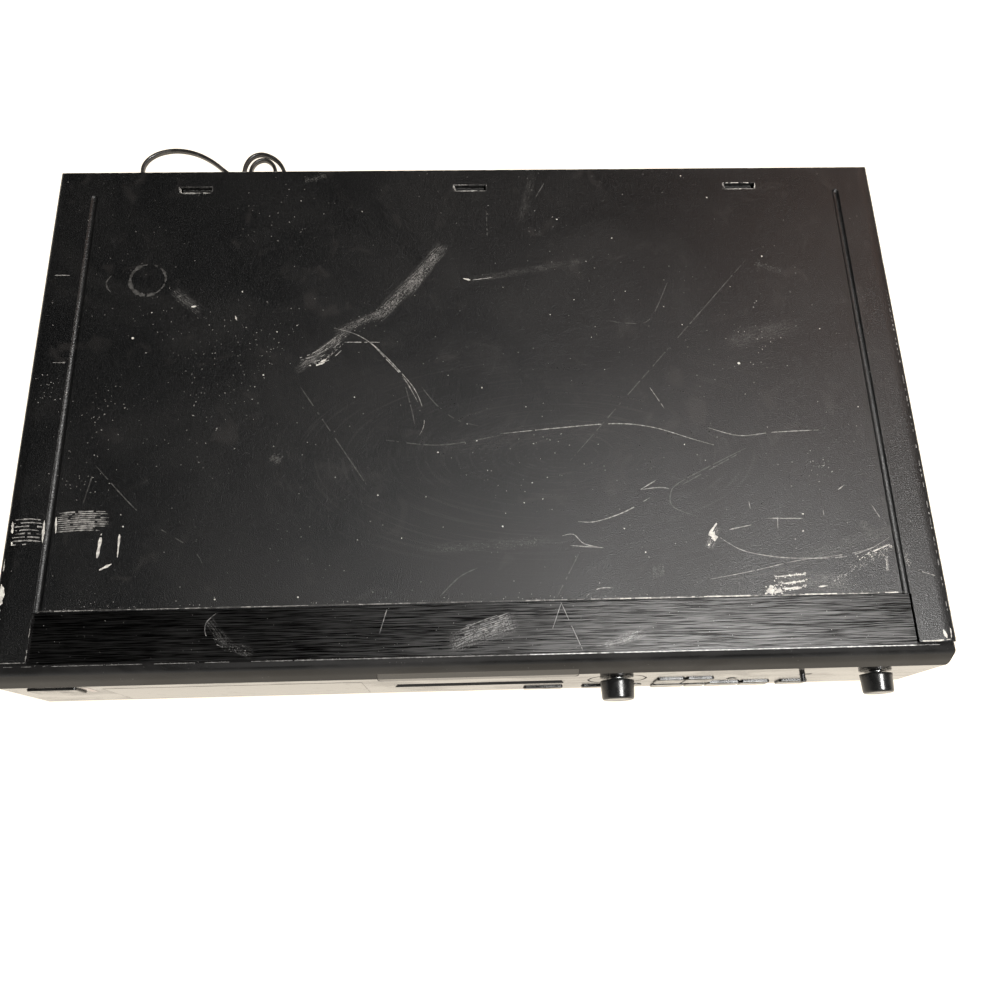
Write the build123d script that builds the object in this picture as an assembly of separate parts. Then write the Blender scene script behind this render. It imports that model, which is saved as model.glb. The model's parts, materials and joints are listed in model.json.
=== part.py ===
from build123d import *
import math
import os

os.makedirs("parts", exist_ok=True)

# A slot-loading minidisc deck. Millimetres. X is width, the front faces -Y, Z is up.
# The origin is the bottom centre of the deck's box, on the surface that its feet stand on.

# Overall size and sheet stock
overall_width = 430.0
overall_height = 95.0
overall_depth = 285.0
steel = 1.0
fit_gap = 0.3
running_gap = 0.05
knob_reach = 9.8
jack_reach = 9.0

# Cover
cover_bend = 1.2
cover_hem_height = 12.0
cover_overhang = 0.7
tongue_width = 17.2
tongue_setback = 8.9
notch_setback = 31.3
groove_inset = 19.3
groove_width = 3.6
groove_depth = 0.9
groove_rear_gap = 16.0
lance_spacing = 144.0
lance_width = 17.0
lance_length = 3.4
lance_rear_gap = 11.5
dimple_radius = 5.2
dimple_depth = 2.0
dimple_rim = 1.2

# Screws
screw_shank = 1.4
screw_head = 2.8
screw_head_height = 1.6
screw_length = 6.0

# Front panel
panel_wall = 3.0
crease_drop = 11.9
facet_run = 3.9
facet_rise = 7.4
ridge_run = 7.4
ridge_drop = 0.6
ridge_land = 1.0
face_height = 50.1
skirt_slope = 0.2174
corner_radius = 1.5
ledge_reach = 35.5
side_return = 22.0
lip_depth = 9.0
strip_thickness = 0.6
strip_lap = 1.5

# Disc slot, scoop and flap
cartridge_width = 72.0
cartridge_depth = 68.0
cartridge_thickness = 5.0
slot_drop = 24.1
slot_mouth_width = 81.2
slot_mouth_height = 10.6
slot_throat_width = 76.0
slot_throat_height = 7.6
slot_bevel = 1.4
scoop_left = 46.4
scoop_right = 45.2
scoop_above = 3.4
scoop_below = 7.6
scoop_step = 0.7
scoop_round = 3.0
flap_thickness = 1.2
flap_lap = 1.6
flap_pin_radius = 1.0
flap_pin_length = 2.6
flap_ear_size = 4.4

# Window and display
window_side_gap = 43.5
window_slot_gap = 13.9
window_drop = 8.2
window_height = 38.9
window_thickness = 2.0
window_top_gap = 1.0
window_play = 0.15
window_lip = 3.0
display_depth = 7.0
display_inset = 8.0

# Keys
key_gap = 0.3
key_proud = 0.9
key_flange = 1.2
key_flange_lap = 0.9
key_travel = 0.8
key_round = 1.2
key_rim = 0.4
key_stem = 3.2
power_side_gap = 11.5
power_width = 22.0
power_height = 13.0
power_drop = 3.6
lens_gap = 1.9
lens_width = 3.2
menu_drop = 22.6
menu_key_width = 13.4
menu_key_height = 12.6
menu_start = 20.0
row_drop = 39.7
row_key_height = 8.9
row_start = 20.9
row_gap = 0.6
small_key_height = 5.2
eject_start = 21.8
eject_width = 19.2
display_key_start = -14.4
display_key_width = 20.6
record_start = 84.3
record_width = 14.1
scroll_start = 12.4
scroll_drop = 42.3
scroll_radius = 3.0
time_start = 57.1
time_drop = 28.1
time_radius = 1.6
dish_radius = 2.7
dish_depth = 1.0

# Knobs and lever
jog_offset = 65.1
control_drop = 19.6
level_side_gap = 25.5
selector_gap = 33.9
jog_radius = 8.0
level_radius = 7.5
knob_taper = 0.5
knob_edge = 1.1
knob_foot_gap = 0.9
ring_radius = 13.6
ring_width = 1.0
ring_depth = 0.5
stem_radius = 3.0
bush_radius = 4.6
carrier_wall = 0.75
collar_depth = 1.2
jog_push = 0.5
control_size = 13.0
control_depth = 7.0
lever_radius = 1.3
lever_reach = 3.7
lever_travel = 3.0
lever_neck = 2.0
selector_width = 14.0

# Boards
board_setback = 14.7
board_thickness = 1.6
switch_depth = 3.5
switch_size = 6.0
plunger_depth = 1.2
plunger_radius = 1.5
standoff_height = 7.0
standoff_radius = 3.2
boss_radius = 3.0
boss_inset = 5.0
key_board_reach = 12.5
screw_inset = 6.0
main_board_size = (125.0, 186.0)
main_board_side_gap = 8.0
main_board_rear_gap = 7.0
power_board_size = (130.0, 135.0)
power_board_side_gap = 10.0
power_board_front_gap = 38.0
ribbon_width = 14.0
ribbon_inset = 12.0
ribbon_lap = 10.0
ribbon_rise = 6.0
ribbon_thickness = 0.6

# Disc mechanism
mechanism_setback = 16.7
mechanism_depth = 128.0
holder_wall = 1.0
cartridge_play = 0.4
holder_drop = 5.0
cam_travel = 12.0
pin_radius = 1.5
pin_gap = 0.3
pin_spacing = 38.0
pin_setback = 16.0
base_drop = 25.0
base_thickness = 1.5
side_wall = 1.2
side_wall_offset = 44.0
slider_length = 61.0
damper_height = 3.8
damper_radius = 4.0
bracket_thickness = 1.2
bracket_half_width = 48.0
bracket_toe = 10.0
bracket_leg = 16.0
gear_module = 0.6
gear_teeth = 45
pinion_teeth = 20
motor_teeth = 12
rack_offset = 56.0
axle_radius = 1.5
motor_shaft_radius = 1.0
motor_radius = 10.0
motor_height = 14.0
spindle_motor_radius = 11.0
spindle_motor_height = 10.0
turntable_radius = 8.0
hub_hole_radius = 14.0
lens_inner_radius = 17.0
sled_travel = 14.0
sled_length = 28.5
rod_height = 6.5
rod_left = -26.0
rod_right = 24.0
screw_offset = 14.0
bearing_width = 3.0
head_arm_length = 23.0
head_arm_width = 7.6

# Transformer
core_width = 66.0
core_depth = 30.0
core_height = 55.0
core_limb = 11.0
core_side_gap = 58.0
core_rear_gap = 51.0
coil_overhang = 2.0
coil_gap = 0.3

# Feet
foot_height = 9.0
foot_radius = 15.0
foot_round = 1.5
foot_side_gap = 40.0
foot_front_gap = 32.0
foot_rear_gap = 32.0
foot_recess_radius = 6.0
foot_seat = 4.0
foot_screw_radius = 1.7

# Rear connectors
jack_pitch = 16.0
jack_rise = 10.0
jack_column_gap = 26.0
jack_radius = 4.15
jack_wall = 0.9
jack_bore = 1.6
jack_block_depth = 22.0
jack_border = 11.0
optical_size = 12.0
optical_pitch = 15.0
optical_reach = 1.0
flange_depth = 8.0
relief_radius = 6.0
relief_flange = 2.0

# Mains lead
cord_diameter = 3.5
cord_side_gap = 50.0
cord_height = 36.0
boot_length = 24.5
boot_radius = 5.2
boot_end_radius = 3.0
floor_gap = 0.1
hank_size = (126.0, 51.0, 7.5)
hank_offset = (59.0, 8.0)
hank_bore = 11.5
hank_corner = 22.0
tie_width = 5.0
tie_thickness = 1.2
plug_neck = 9.0
plug_size = (21.0, 19.0, 13.9)
blade_size = (16.5, 1.5, 6.3)
blade_spacing = 12.7

# Stations worked out from the sizes above
half_width = overall_width / 2
face_y = -overall_depth / 2 + knob_reach
back_y = overall_depth / 2 - jack_reach
cover_back_y = back_y + cover_overhang
cover_front_y = face_y + tongue_setback
notch_y = face_y + notch_setback
notch_half = half_width - tongue_width
cover_under = overall_height - steel
inner_half = half_width - steel
panel_half = inner_half - fit_gap
chassis_half = inner_half - dimple_depth - fit_gap
chassis_under = foot_height
chassis_top = chassis_under + steel
crease_z = overall_height - crease_drop
skirt_z = crease_z - face_height
skirt_run = skirt_slope * (skirt_z - chassis_top)
wall_back_y = face_y + panel_wall
cavity_half = panel_half - panel_wall
ledge_z = cover_under - fit_gap
ledge_back_y = face_y + ledge_reach
slot_z = crease_z - slot_drop
control_z = crease_z - control_drop
jog_x = jog_offset
level_x = half_width - level_side_gap
selector_x = level_x - selector_gap
board_y = face_y + board_setback
board_back_y = board_y + board_thickness
switch_y = board_y - switch_depth
panel_front_y = back_y - steel
board_top = chassis_top + standoff_height + board_thickness
cord_x = -half_width + cord_side_gap
screw_bore = screw_shank + running_gap
screw_hole = screw_shank + fit_gap


def block(x, y, z):
    """A box between two limits along each axis."""
    size = (x[1] - x[0], y[1] - y[0], z[1] - z[0])
    return Pos((x[0] + x[1]) / 2, (y[0] + y[1]) / 2, (z[0] + z[1]) / 2) * Box(*size)


def rod_x(x, y, z, radius):
    """A cylinder along X between two limits."""
    return Pos((x[0] + x[1]) / 2, y, z) * Rot(0, 90, 0) * Cylinder(radius, x[1] - x[0])


def rod_y(x, y, z, radius):
    """A cylinder along Y between two limits."""
    return Pos(x, (y[0] + y[1]) / 2, z) * Rot(90, 0, 0) * Cylinder(radius, y[1] - y[0])


def rod_z(x, y, z, radius):
    """A cylinder along Z between two limits."""
    return Pos(x, y, (z[0] + z[1]) / 2) * Cylinder(radius, z[1] - z[0])


def tube_y(x, y, z, outer, inner):
    """A tube along Y between two limits."""
    return rod_y(x, y, z, outer) - rod_y(x, y, z, inner)


def tube_z(x, y, z, outer, inner):
    """A tube along Z between two limits."""
    return rod_z(x, y, z, outer) - rod_z(x, y, z, inner)


def around(centre, size):
    """Limits of a length about its middle."""
    return (centre - size / 2, centre + size / 2)


def onward(start, size):
    """Limits of a length from its start."""
    return (start, start + size)


def grown(limits, margin):
    """Limits widened by a margin at both ends."""
    return (limits[0] - margin, limits[1] + margin)


def on_side(side, near, far):
    """Limits along X on the left (-1) or right (1), from two distances off the middle."""
    return tuple(sorted((side * near, side * far)))


def rounded_front(x, z, y, radius):
    """A plate seen from the front, with rounded corners, between two depths."""
    outline = Pos(sum(x) / 2, sum(z) / 2) * RectangleRounded(x[1] - x[0], z[1] - z[0], radius)
    return Pos(0, y[1], 0) * extrude(Plane.XZ * outline, y[1] - y[0])


def rounded_top(x, y, z, radius):
    """A plate seen from above, with rounded corners, between two heights."""
    outline = Pos(sum(x) / 2, sum(y) / 2) * RectangleRounded(x[1] - x[0], y[1] - y[0], radius)
    return Pos(0, 0, z[0]) * extrude(outline, z[1] - z[0])


def side_profile(points, x):
    """A solid with one outline in the YZ plane, between two widths."""
    outline = make_face(Polyline(*points, close=True))
    return Pos(x[0], 0, 0) * extrude(Plane.YZ * outline, x[1] - x[0])


def save(name, *pieces):
    """Write one node, a single solid or a group of separate ones."""
    solids = [solid for piece in pieces for solid in piece.solids()]
    shape = solids[0] if len(solids) == 1 else Compound(solids)
    export_step(shape, os.path.join("parts", name + ".step"))


# Steel cover
def cover_shell():
    """The folded wrap: top and two sides in one sheet, open in front, behind and below."""
    length = (cover_front_y, cover_back_y)
    outer = block((-half_width, half_width), length, (cover_hem_height, overall_height))
    outer = fillet(outer.edges().filter_by(Axis.Y).group_by(Axis.Z)[-1], cover_bend)
    inner = block((-inner_half, inner_half), grown(length, 1), (cover_hem_height - 1, cover_under))
    sheet_z = (cover_under - 1, overall_height + 1)
    return outer - inner - block((-notch_half, notch_half), (cover_front_y - 1, notch_y), sheet_z)


def add_grooves(cover):
    """Press the two long grooves into the top, with their swell under the sheet."""
    rear = cover_back_y - groove_rear_gap
    tool_radius = (groove_width ** 2 / 4 + groove_depth ** 2) / (2 * groove_depth)
    tool_z = overall_height - groove_depth + tool_radius
    for side in (-1, 1):
        x = side * (half_width - groove_inset)
        swell_z = (cover_under - groove_depth, cover_under)
        swell = block(around(x, groove_width), (ledge_back_y + fit_gap, rear), swell_z)
        tool = rod_y(x, (notch_y - 1, rear), tool_z, tool_radius)
        tip = Pos(x, rear, tool_z) * Sphere(tool_radius)
        cover = cover + swell - tool - tip
    return cover


def add_lances(cover):
    """Three lanced tongues near the rear edge that hook under the rear panel's flange."""
    hole_y = around(cover_back_y - lance_rear_gap, lance_length)
    web_y = (hole_y[0] - steel, hole_y[0])
    hook_y = (web_y[0], panel_front_y - steel)
    hook_top = ledge_z - steel - fit_gap
    for index in (-1, 0, 1):
        hole_x = around(index * lance_spacing, lance_width)
        tongue_x = grown(hole_x, -steel)
        cover = cover - block(hole_x, hole_y, (cover_under - 1, overall_height + 1))
        cover = cover + block(tongue_x, web_y, (hook_top - steel, cover_under))
        cover = cover + block(tongue_x, hook_y, (hook_top - steel, hook_top))
    return cover


side_screw_y = (face_y + 47.0, back_y - 28.0)
side_screw_z = chassis_top + 14.0
side_screw_places = [(side, y) for side in (-1, 1) for y in side_screw_y]
dimple_floor = half_width - dimple_depth


def add_dimples(cover):
    """Pressed dimples in the sides that take the screw heads and reach the chassis flanges."""
    for side, y in side_screw_places:
        cup = on_side(side, dimple_floor - steel, inner_half)
        pocket = on_side(side, dimple_floor, half_width + 1)
        bore = on_side(side, dimple_floor - steel - 1, half_width + 1)
        cover = cover + rod_x(cup, y, side_screw_z, dimple_radius + steel)
        cover = cover - rod_x(pocket, y, side_screw_z, dimple_radius)
        cover = cover - rod_x(bore, y, side_screw_z, screw_hole)
    return cover


def side_screw(side, y):
    """A flanged screw through a dimple into the chassis flange."""
    head = on_side(side, dimple_floor, dimple_floor + screw_head_height)
    shank = on_side(side, dimple_floor - screw_length, dimple_floor)
    flange = rod_x(head, y, side_screw_z, dimple_radius - dimple_rim)
    return flange + rod_x(shank, y, side_screw_z, screw_shank)


save("top_cover", add_dimples(add_lances(add_grooves(cover_shell()))))


# Front panel
facet_top = (face_y + facet_run, crease_z + facet_rise)
ridge_top = (face_y + ridge_run, overall_height - ridge_drop)
ridge_back_y = face_y + ridge_run + ridge_land


def panel_outline():
    """The panel's section: receding skirt, upright face, slanted facet, round top, rear ledge."""
    start = (face_y + skirt_run, chassis_top)
    corners = [(ridge_back_y, ridge_top[1]), (ridge_back_y, ledge_z), (ledge_back_y, ledge_z),
               (ledge_back_y, chassis_top), start]
    front = Polyline(start, (face_y, skirt_z), (face_y, crease_z), facet_top)
    crown = TangentArc(facet_top, ridge_top, tangent=(facet_run, facet_rise))
    return make_face(Curve() + [front, crown, Polyline(ridge_top, *corners)])


def panel_shell():
    """The hollow moulding, open behind, narrower where the cover closes over it."""
    outline = panel_outline()
    width = (-half_width, half_width)
    length = (face_y - 1, ledge_back_y + 1)
    body = extrude(Plane.YZ * outline, half_width, both=True)
    body = body & rounded_top(width, (face_y, -face_y), (0, overall_height), corner_radius)
    body = body & rounded_front(width, (-ridge_top[1], ridge_top[1]), length, 2 * corner_radius)
    for side in (-1, 1):
        beside = on_side(side, panel_half, half_width + 1)
        body = body - block(beside, (cover_front_y - fit_gap, length[1]), (0, overall_height))
    within = (-cavity_half, cavity_half)
    hollow = offset(outline, -panel_wall, kind=Kind.INTERSECTION)
    body = body - extrude(Plane.YZ * hollow, cavity_half, both=True)
    body = body - block(width, (face_y + side_return, length[1]), (0, ledge_z - panel_wall))
    lip_y = (face_y + skirt_run + lip_depth, length[1])
    return body - block(within, lip_y, (0, chassis_top + panel_wall + 1))


strip_half = notch_half - fit_gap
strip_x = (-strip_half, strip_half)
strip_y = (ridge_back_y, notch_y + strip_lap)
strip_z = (ledge_z - strip_thickness, ledge_z)


def scoop_cut():
    """The shallow thumb scoop above the slot, cut across the crease."""
    top_y = face_y + facet_run * scoop_above / facet_rise
    top_z = crease_z + scoop_above
    bottom_z = crease_z - scoop_below
    slope = math.hypot(facet_run, facet_rise)
    inward = (scoop_step * facet_rise / slope, scoop_step * facet_run / slope)
    points = [
        (top_y - 3 * inward[0], top_z + 3 * inward[1]),
        (top_y + inward[0], top_z - inward[1]),
        (face_y + scoop_step / 2, crease_z - scoop_above),
        (face_y, bottom_z),
        (face_y - panel_wall, bottom_z),
    ]
    width = (-scoop_left, scoop_right)
    depth = (face_y - panel_wall - 1, face_y + panel_wall)
    ends = rounded_front(width, (bottom_z, top_z + scoop_round), depth, scoop_round)
    return side_profile(points, width) & ends


def slot_cut():
    """The disc slot: a bevelled mouth and a straight throat through the wall."""
    mouth = Pos(0, slot_z) * Rectangle(slot_mouth_width, slot_mouth_height)
    throat = Pos(0, slot_z) * Rectangle(slot_throat_width, slot_throat_height)
    front = Plane((0, face_y, 0), x_dir=(1, 0, 0), z_dir=(0, -1, 0))
    inner = Plane((0, face_y + slot_bevel, 0), x_dir=(1, 0, 0), z_dir=(0, -1, 0))
    bevel = loft([(front * mouth).face(), (inner * throat).face()])
    length = (face_y + slot_bevel - running_gap, wall_back_y + 1)
    return bevel + block(around(0, slot_throat_width), length, around(slot_z, slot_throat_height))


window_x = (-half_width + window_side_gap, -slot_mouth_width / 2 - window_slot_gap)
window_top = crease_z - window_drop
window_z = (window_top - window_height, window_top - window_top_gap)
window_y = (face_y, face_y + window_thickness)


def window_cut():
    """A pocket for the window and a smaller opening behind it."""
    pocket_z = (window_z[0] - window_play, window_top)
    pocket = block(grown(window_x, window_play), (face_y - 1, window_y[1]), pocket_z)
    hole = block(grown(window_x, -window_lip), (face_y, wall_back_y + 1), grown(window_z, -window_lip))
    return pocket + hole


# Flat keys: name, left edge, width, top, height
power_left = -half_width + power_side_gap
row_left = jog_x + row_start
row_top = crease_z - row_drop
menu_left = jog_x + menu_start
menu_top = crease_z - menu_drop
low_row = (row_top, small_key_height)
menu_row = (menu_top, menu_key_height)
play_row = (row_top, row_key_height)
transport_widths = {"play_key": 16.2, "pause_key": 9.8, "stop_key": 16.4, "skip_key": 14.3}
flat_keys = {
    "power_key": (power_left, power_width, crease_z - power_drop, power_height),
    "eject_key": (eject_start, eject_width, *low_row),
    "display_key": (jog_x + display_key_start, display_key_width, *low_row),
    "menu_key": (menu_left, menu_key_width, *menu_row),
    "enter_key": (menu_left + menu_key_width + row_gap, menu_key_width, *menu_row),
    "record_key": (jog_x + record_start, record_width, *play_row),
}
next_left = row_left
for key_name, key_width in transport_widths.items():
    flat_keys[key_name] = (next_left, key_width, *play_row)
    next_left += key_width + row_gap

# Keys that share one opening in the panel
key_openings = [["power_key"], ["eject_key"], ["display_key"], ["menu_key", "enter_key"],
                list(transport_widths), ["record_key"]]
round_keys = {
    "scroll_key": (jog_x + scroll_start, crease_z - scroll_drop, scroll_radius),
    "time_key": (jog_x + time_start, crease_z - time_drop, time_radius),
}
lens_x = onward(power_left + power_width + lens_gap, lens_width)
lens_z = (crease_z - power_drop - power_height, crease_z - power_drop)


def key_limits(name):
    """The front outline of one flat key."""
    left, width, top, height = flat_keys[name]
    return (left, left + width), (top - height, top)


lever_start_x = selector_x - lever_travel / 2
lever_way_x = grown((lever_start_x, lever_start_x + lever_travel), lever_radius + fit_gap)
lever_way_z = around(control_z, 2 * (lever_radius + fit_gap))


def control_cuts():
    """Openings in the face for keys, knobs, lens and lever."""
    depth = (face_y - 1, wall_back_y + 1)
    cuts = []
    for names in key_openings:
        first, last = key_limits(names[0]), key_limits(names[-1])
        x = grown((first[0][0], last[0][1]), key_gap)
        cuts.append(rounded_front(x, grown(first[1], key_gap), depth, key_round + key_gap))
    for x, z, radius in round_keys.values():
        cuts.append(rod_y(x, depth, z, radius + key_gap))
    x, z, radius = round_keys["time_key"]
    dish = Cone(radius + key_gap, dish_radius, dish_depth)
    cuts.append(Pos(x, face_y + dish_depth / 2, z) * Rot(90, 0, 0) * dish)
    cuts.append(rounded_front(grown(lens_x, window_play), grown(lens_z, window_play), depth, key_rim))
    for x in (jog_x, level_x):
        cuts.append(rod_y(x, depth, control_z, bush_radius + fit_gap))
    ring_y = (face_y - 1, face_y + ring_depth)
    cuts.append(tube_y(jog_x, ring_y, control_z, ring_radius + ring_width / 2, ring_radius - ring_width / 2))
    cuts.append(rounded_front(lever_way_x, lever_way_z, depth, lever_radius))
    return cuts


board_side_gap = 3.5
display_board_x = (-cavity_half + board_side_gap, -slot_mouth_width / 2 - 2 * boss_inset)
display_board_z = (chassis_top + 15.0, crease_z + 2.0)
key_board_x = (12.0, cavity_half - board_side_gap)
key_board_z = (row_top - row_key_height - key_board_reach, crease_z - 2.0)
key_board_step = (jog_x - 16.0, slot_z - slot_mouth_height)
display_low_z = display_board_z[0] + boss_inset
key_low_z = key_board_z[0] + boss_inset
display_bosses = [
    (display_board_x[0] + 2 * boss_inset, display_low_z),
    (display_board_x[0] + 2 * boss_inset, display_low_z + 5 * boss_inset),
    (display_board_x[1] - boss_inset, display_low_z),
    (display_board_x[1] - boss_inset, display_board_z[1] - boss_inset),
]
key_bosses = [
    (key_board_x[0] + boss_inset, key_low_z),
    (menu_left + boss_inset, key_low_z),
    (menu_left + boss_inset, key_board_z[1] - boss_inset),
    (key_board_x[1] - 3.5 * boss_inset, key_low_z),
    (key_board_x[1] - boss_inset, key_low_z),
]
panel_bosses = display_bosses + key_bosses

flap_half = slot_throat_width / 2 + flap_lap
flap_bottom_z = slot_z - slot_throat_height / 2 - flap_lap
flap_hinge_z = slot_z + slot_throat_height / 2 + flap_lap + fit_gap
flap_hinge_y = wall_back_y + flap_thickness + 2 * fit_gap


def flap_ear(side):
    """An ear behind the face that holds one pin of the flap."""
    near = flap_half + fit_gap
    x = on_side(side, near, near + flap_pin_length)
    y = (wall_back_y - fit_gap, flap_hinge_y + flap_ear_size / 2)
    ear = block(x, y, around(flap_hinge_z, flap_ear_size))
    bore = rod_x(grown(x, 1), flap_hinge_y, flap_hinge_z, flap_pin_radius + running_gap)
    return ear - bore


def front_panel():
    """The whole moulding with its openings, bosses and ears."""
    panel = panel_shell()
    panel = panel - block(grown(strip_x, window_play), strip_y, (strip_z[0], ledge_z + 1))
    panel = panel - scoop_cut() - slot_cut() - window_cut()
    for cut in control_cuts():
        panel = panel - cut
    for x, z in panel_bosses:
        panel = panel + tube_y(x, (wall_back_y - fit_gap, board_y), z, boss_radius, screw_bore)
    for side in (-1, 1):
        panel = panel + flap_ear(side)
    return panel


def slot_flap():
    """The dust flap that hangs behind the slot and swings inward."""
    plate_y = (flap_hinge_y - flap_thickness, flap_hinge_y)
    plate = block((-flap_half, flap_half), plate_y, (flap_bottom_z, flap_hinge_z))
    barrel = rod_x((-flap_half, flap_half), flap_hinge_y, flap_hinge_z, flap_thickness)
    pin_half = flap_half + flap_pin_length
    return plate + barrel + rod_x((-pin_half, pin_half), flap_hinge_y, flap_hinge_z, flap_pin_radius)


def standby_lens():
    """The narrow light pipe beside the power key, with a flange behind the wall."""
    bar = rounded_front(lens_x, lens_z, (face_y - running_gap, wall_back_y), key_rim)
    flange = block(grown(lens_x, lens_gap / 2), onward(wall_back_y, window_thickness), grown(lens_z, key_rim))
    return bar + flange


save("front_panel", front_panel())
save("brushed_strip", block(strip_x, strip_y, strip_z))
save("slot_flap", slot_flap())
save("display_window", block(window_x, window_y, window_z))
save("standby_lens", standby_lens())


# Keys and their switches
flange_y = onward(wall_back_y + key_gap, key_flange)
stem_end_y = switch_y - plunger_depth - key_travel - running_gap


def flat_key(name):
    """A key cap with a flange behind the wall and a stem that reaches its switch."""
    x, z = key_limits(name)
    cap = rounded_front(x, z, (face_y - key_proud, flange_y[1]), key_round)
    cap = fillet(cap.faces().sort_by(Axis.Y)[0].edges(), key_rim)
    flange = block(x, flange_y, grown(z, key_flange_lap))
    stem = block(around(sum(x) / 2, key_stem), (flange_y[1], stem_end_y), around(sum(z) / 2, key_stem))
    return cap + flange + stem


def round_key(name):
    """A small round key of the same make."""
    x, z, radius = round_keys[name]
    cap = rod_y(x, (face_y - key_gap, flange_y[1]), z, radius)
    flange = rod_y(x, flange_y, z, radius + key_flange_lap)
    return cap + flange + rod_y(x, (flange_y[1], stem_end_y), z, key_stem / 2)


def key_switch(x, z):
    """A small push switch with its plunger towards the key."""
    body = block(around(x, switch_size), (switch_y, board_y), around(z, switch_size))
    return body + rod_y(x, (switch_y - plunger_depth, switch_y), z, plunger_radius)


def selector_switch():
    """The slide switch behind the input lever, with a way cut for the lever's tail."""
    body = block(around(selector_x, selector_width), (switch_y, board_y), around(control_z, switch_size))
    way_x = grown((lever_start_x, lever_start_x + lever_travel), lever_neck / 2 + fit_gap)
    return body - block(way_x, (switch_y - 1, board_y - 1), around(control_z, lever_neck + 2 * fit_gap))


key_centres = [(sum(x) / 2, sum(z) / 2) for x, z in map(key_limits, flat_keys)]
key_centres += [(x, z) for x, z, radius in round_keys.values()]
for key_name in flat_keys:
    save(key_name, flat_key(key_name))
for key_name in round_keys:
    save(key_name, round_key(key_name))
save("panel_switches", selector_switch(), *[key_switch(x, z) for x, z in key_centres])


# Boards behind the panel
def upright_board(x, z, places):
    """An upright board with its screw holes."""
    board = block(x, (board_y, board_back_y), z)
    for place_x, place_z in places:
        board = board - rod_y(place_x, (board_y - 1, board_back_y + 1), place_z, screw_hole)
    return board


def panel_board_screw(x, z):
    """A screw from behind an upright board into its boss."""
    head = rod_y(x, onward(board_back_y, screw_head_height), z, screw_head)
    return head + rod_y(x, (board_back_y - screw_length, board_back_y), z, screw_shank)


def key_board():
    """The board behind the right half, stepped to pass under the disc slot."""
    board = upright_board(key_board_x, key_board_z, key_bosses)
    step_x = (key_board_x[0] - 1, key_board_step[0])
    return board - block(step_x, (board_y - 1, board_back_y + 1), (key_board_step[1], key_board_z[1] + 1))


display_board = upright_board(display_board_x, display_board_z, display_bosses)
save("panel_boards", display_board, key_board())
display_x = grown(window_x, -display_inset)
display_z = grown(window_z, -display_inset / 2)
save("display_tube", block(display_x, (board_y - display_depth, board_y), display_z))


# Jog knob: it turns in a carrier that slides when the knob is pushed
bush_front_y = face_y - window_play
control_y = (board_y - control_depth, board_y)
knob_back_y = face_y - knob_foot_gap
knob_front_y = face_y - knob_reach
stem_bore = stem_radius + running_gap
carrier_radius = stem_bore + carrier_wall
carrier_bore = carrier_radius + running_gap
stem_back_y = board_y - plunger_depth - jog_push


def rotary_control(x, bore):
    """A square control body on the board with a round bush through the panel."""
    body = block(around(x, control_size), control_y, around(control_z, control_size))
    body = body + rod_y(x, (bush_front_y, control_y[0]), control_z, bush_radius)
    bore_y = (bush_front_y - 1, stem_back_y + jog_push + fit_gap)
    return body - rod_y(x, bore_y, control_z, bore)


def turned_knob(x, radius, stem_end):
    """A slightly tapered knob with a rounded front edge and its stem."""
    length = knob_back_y - knob_front_y
    middle_y = (knob_back_y + knob_front_y) / 2
    body = Pos(x, middle_y, control_z) * Rot(90, 0, 0) * Cone(radius, radius - knob_taper, length)
    body = fillet(body.edges().filter_by(GeomType.CIRCLE).sort_by(Axis.Y)[0], knob_edge)
    return body + rod_y(x, (knob_back_y - 1, stem_end), control_z, stem_radius)


collar_y = (stem_back_y - collar_depth, stem_back_y)
carrier_y = (bush_front_y + 1, collar_y[0] - running_gap)
jog_collar = rod_y(jog_x, collar_y, control_z, carrier_radius)
save("rotary_controls", rotary_control(jog_x, carrier_bore), rotary_control(level_x, stem_bore))
save("jog_carrier", tube_y(jog_x, carrier_y, control_z, carrier_radius, stem_bore))
save("jog_knob", turned_knob(jog_x, jog_radius, collar_y[0]) + jog_collar)
save("level_knob", turned_knob(level_x, level_radius, stem_back_y))

lever = rod_y(lever_start_x, (face_y - lever_reach, flange_y[1]), control_z, lever_radius)
lever_plate = block(around(lever_start_x, 3 * lever_travel), flange_y, around(control_z, 2 * lever_travel))
lever_tail_y = (flange_y[1], switch_y + 1)
lever_tail = block(around(lever_start_x, lever_neck), lever_tail_y, around(control_z, lever_neck))
save("input_lever", lever + lever_plate + lever_tail)


# Chassis and feet
foot_y = (face_y + foot_front_gap, back_y - foot_rear_gap)
foot_places = [(side * (half_width - foot_side_gap), y) for side in (-1, 1) for y in foot_y]
main_board_right = half_width - main_board_side_gap
main_board_back = back_y - main_board_rear_gap
main_board_x = (main_board_right - main_board_size[0], main_board_right)
main_board_y = (main_board_back - main_board_size[1], main_board_back)
power_board_x = onward(-half_width + power_board_side_gap, power_board_size[0])
power_board_y = onward(face_y + power_board_front_gap, power_board_size[1])
flat_boards = [(main_board_x, main_board_y), (power_board_x, power_board_y)]
board_screw_places = [(x, y) for board in flat_boards for x in grown(board[0], -screw_inset)
                      for y in grown(board[1], -screw_inset)]
rear_tab_x = chassis_half - 8.0
rear_tab_z = chassis_top + 12.0
vent_rows = 8
vent_size = (34.0, 3.0)
vent_pitch = 8.0
vent_offset = 75.0


def vent_slots():
    """Rows of cooling slots through the floor behind the boards."""
    slots = []
    for side in (-1, 1):
        x = around(side * vent_offset, vent_size[0])
        for row in range(vent_rows):
            y = around(power_board_y[1] + vent_pitch * (row + 1.5), vent_size[1])
            slots.append(block(x, y, (chassis_under - 1, chassis_top + 1)))
    return slots


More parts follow.
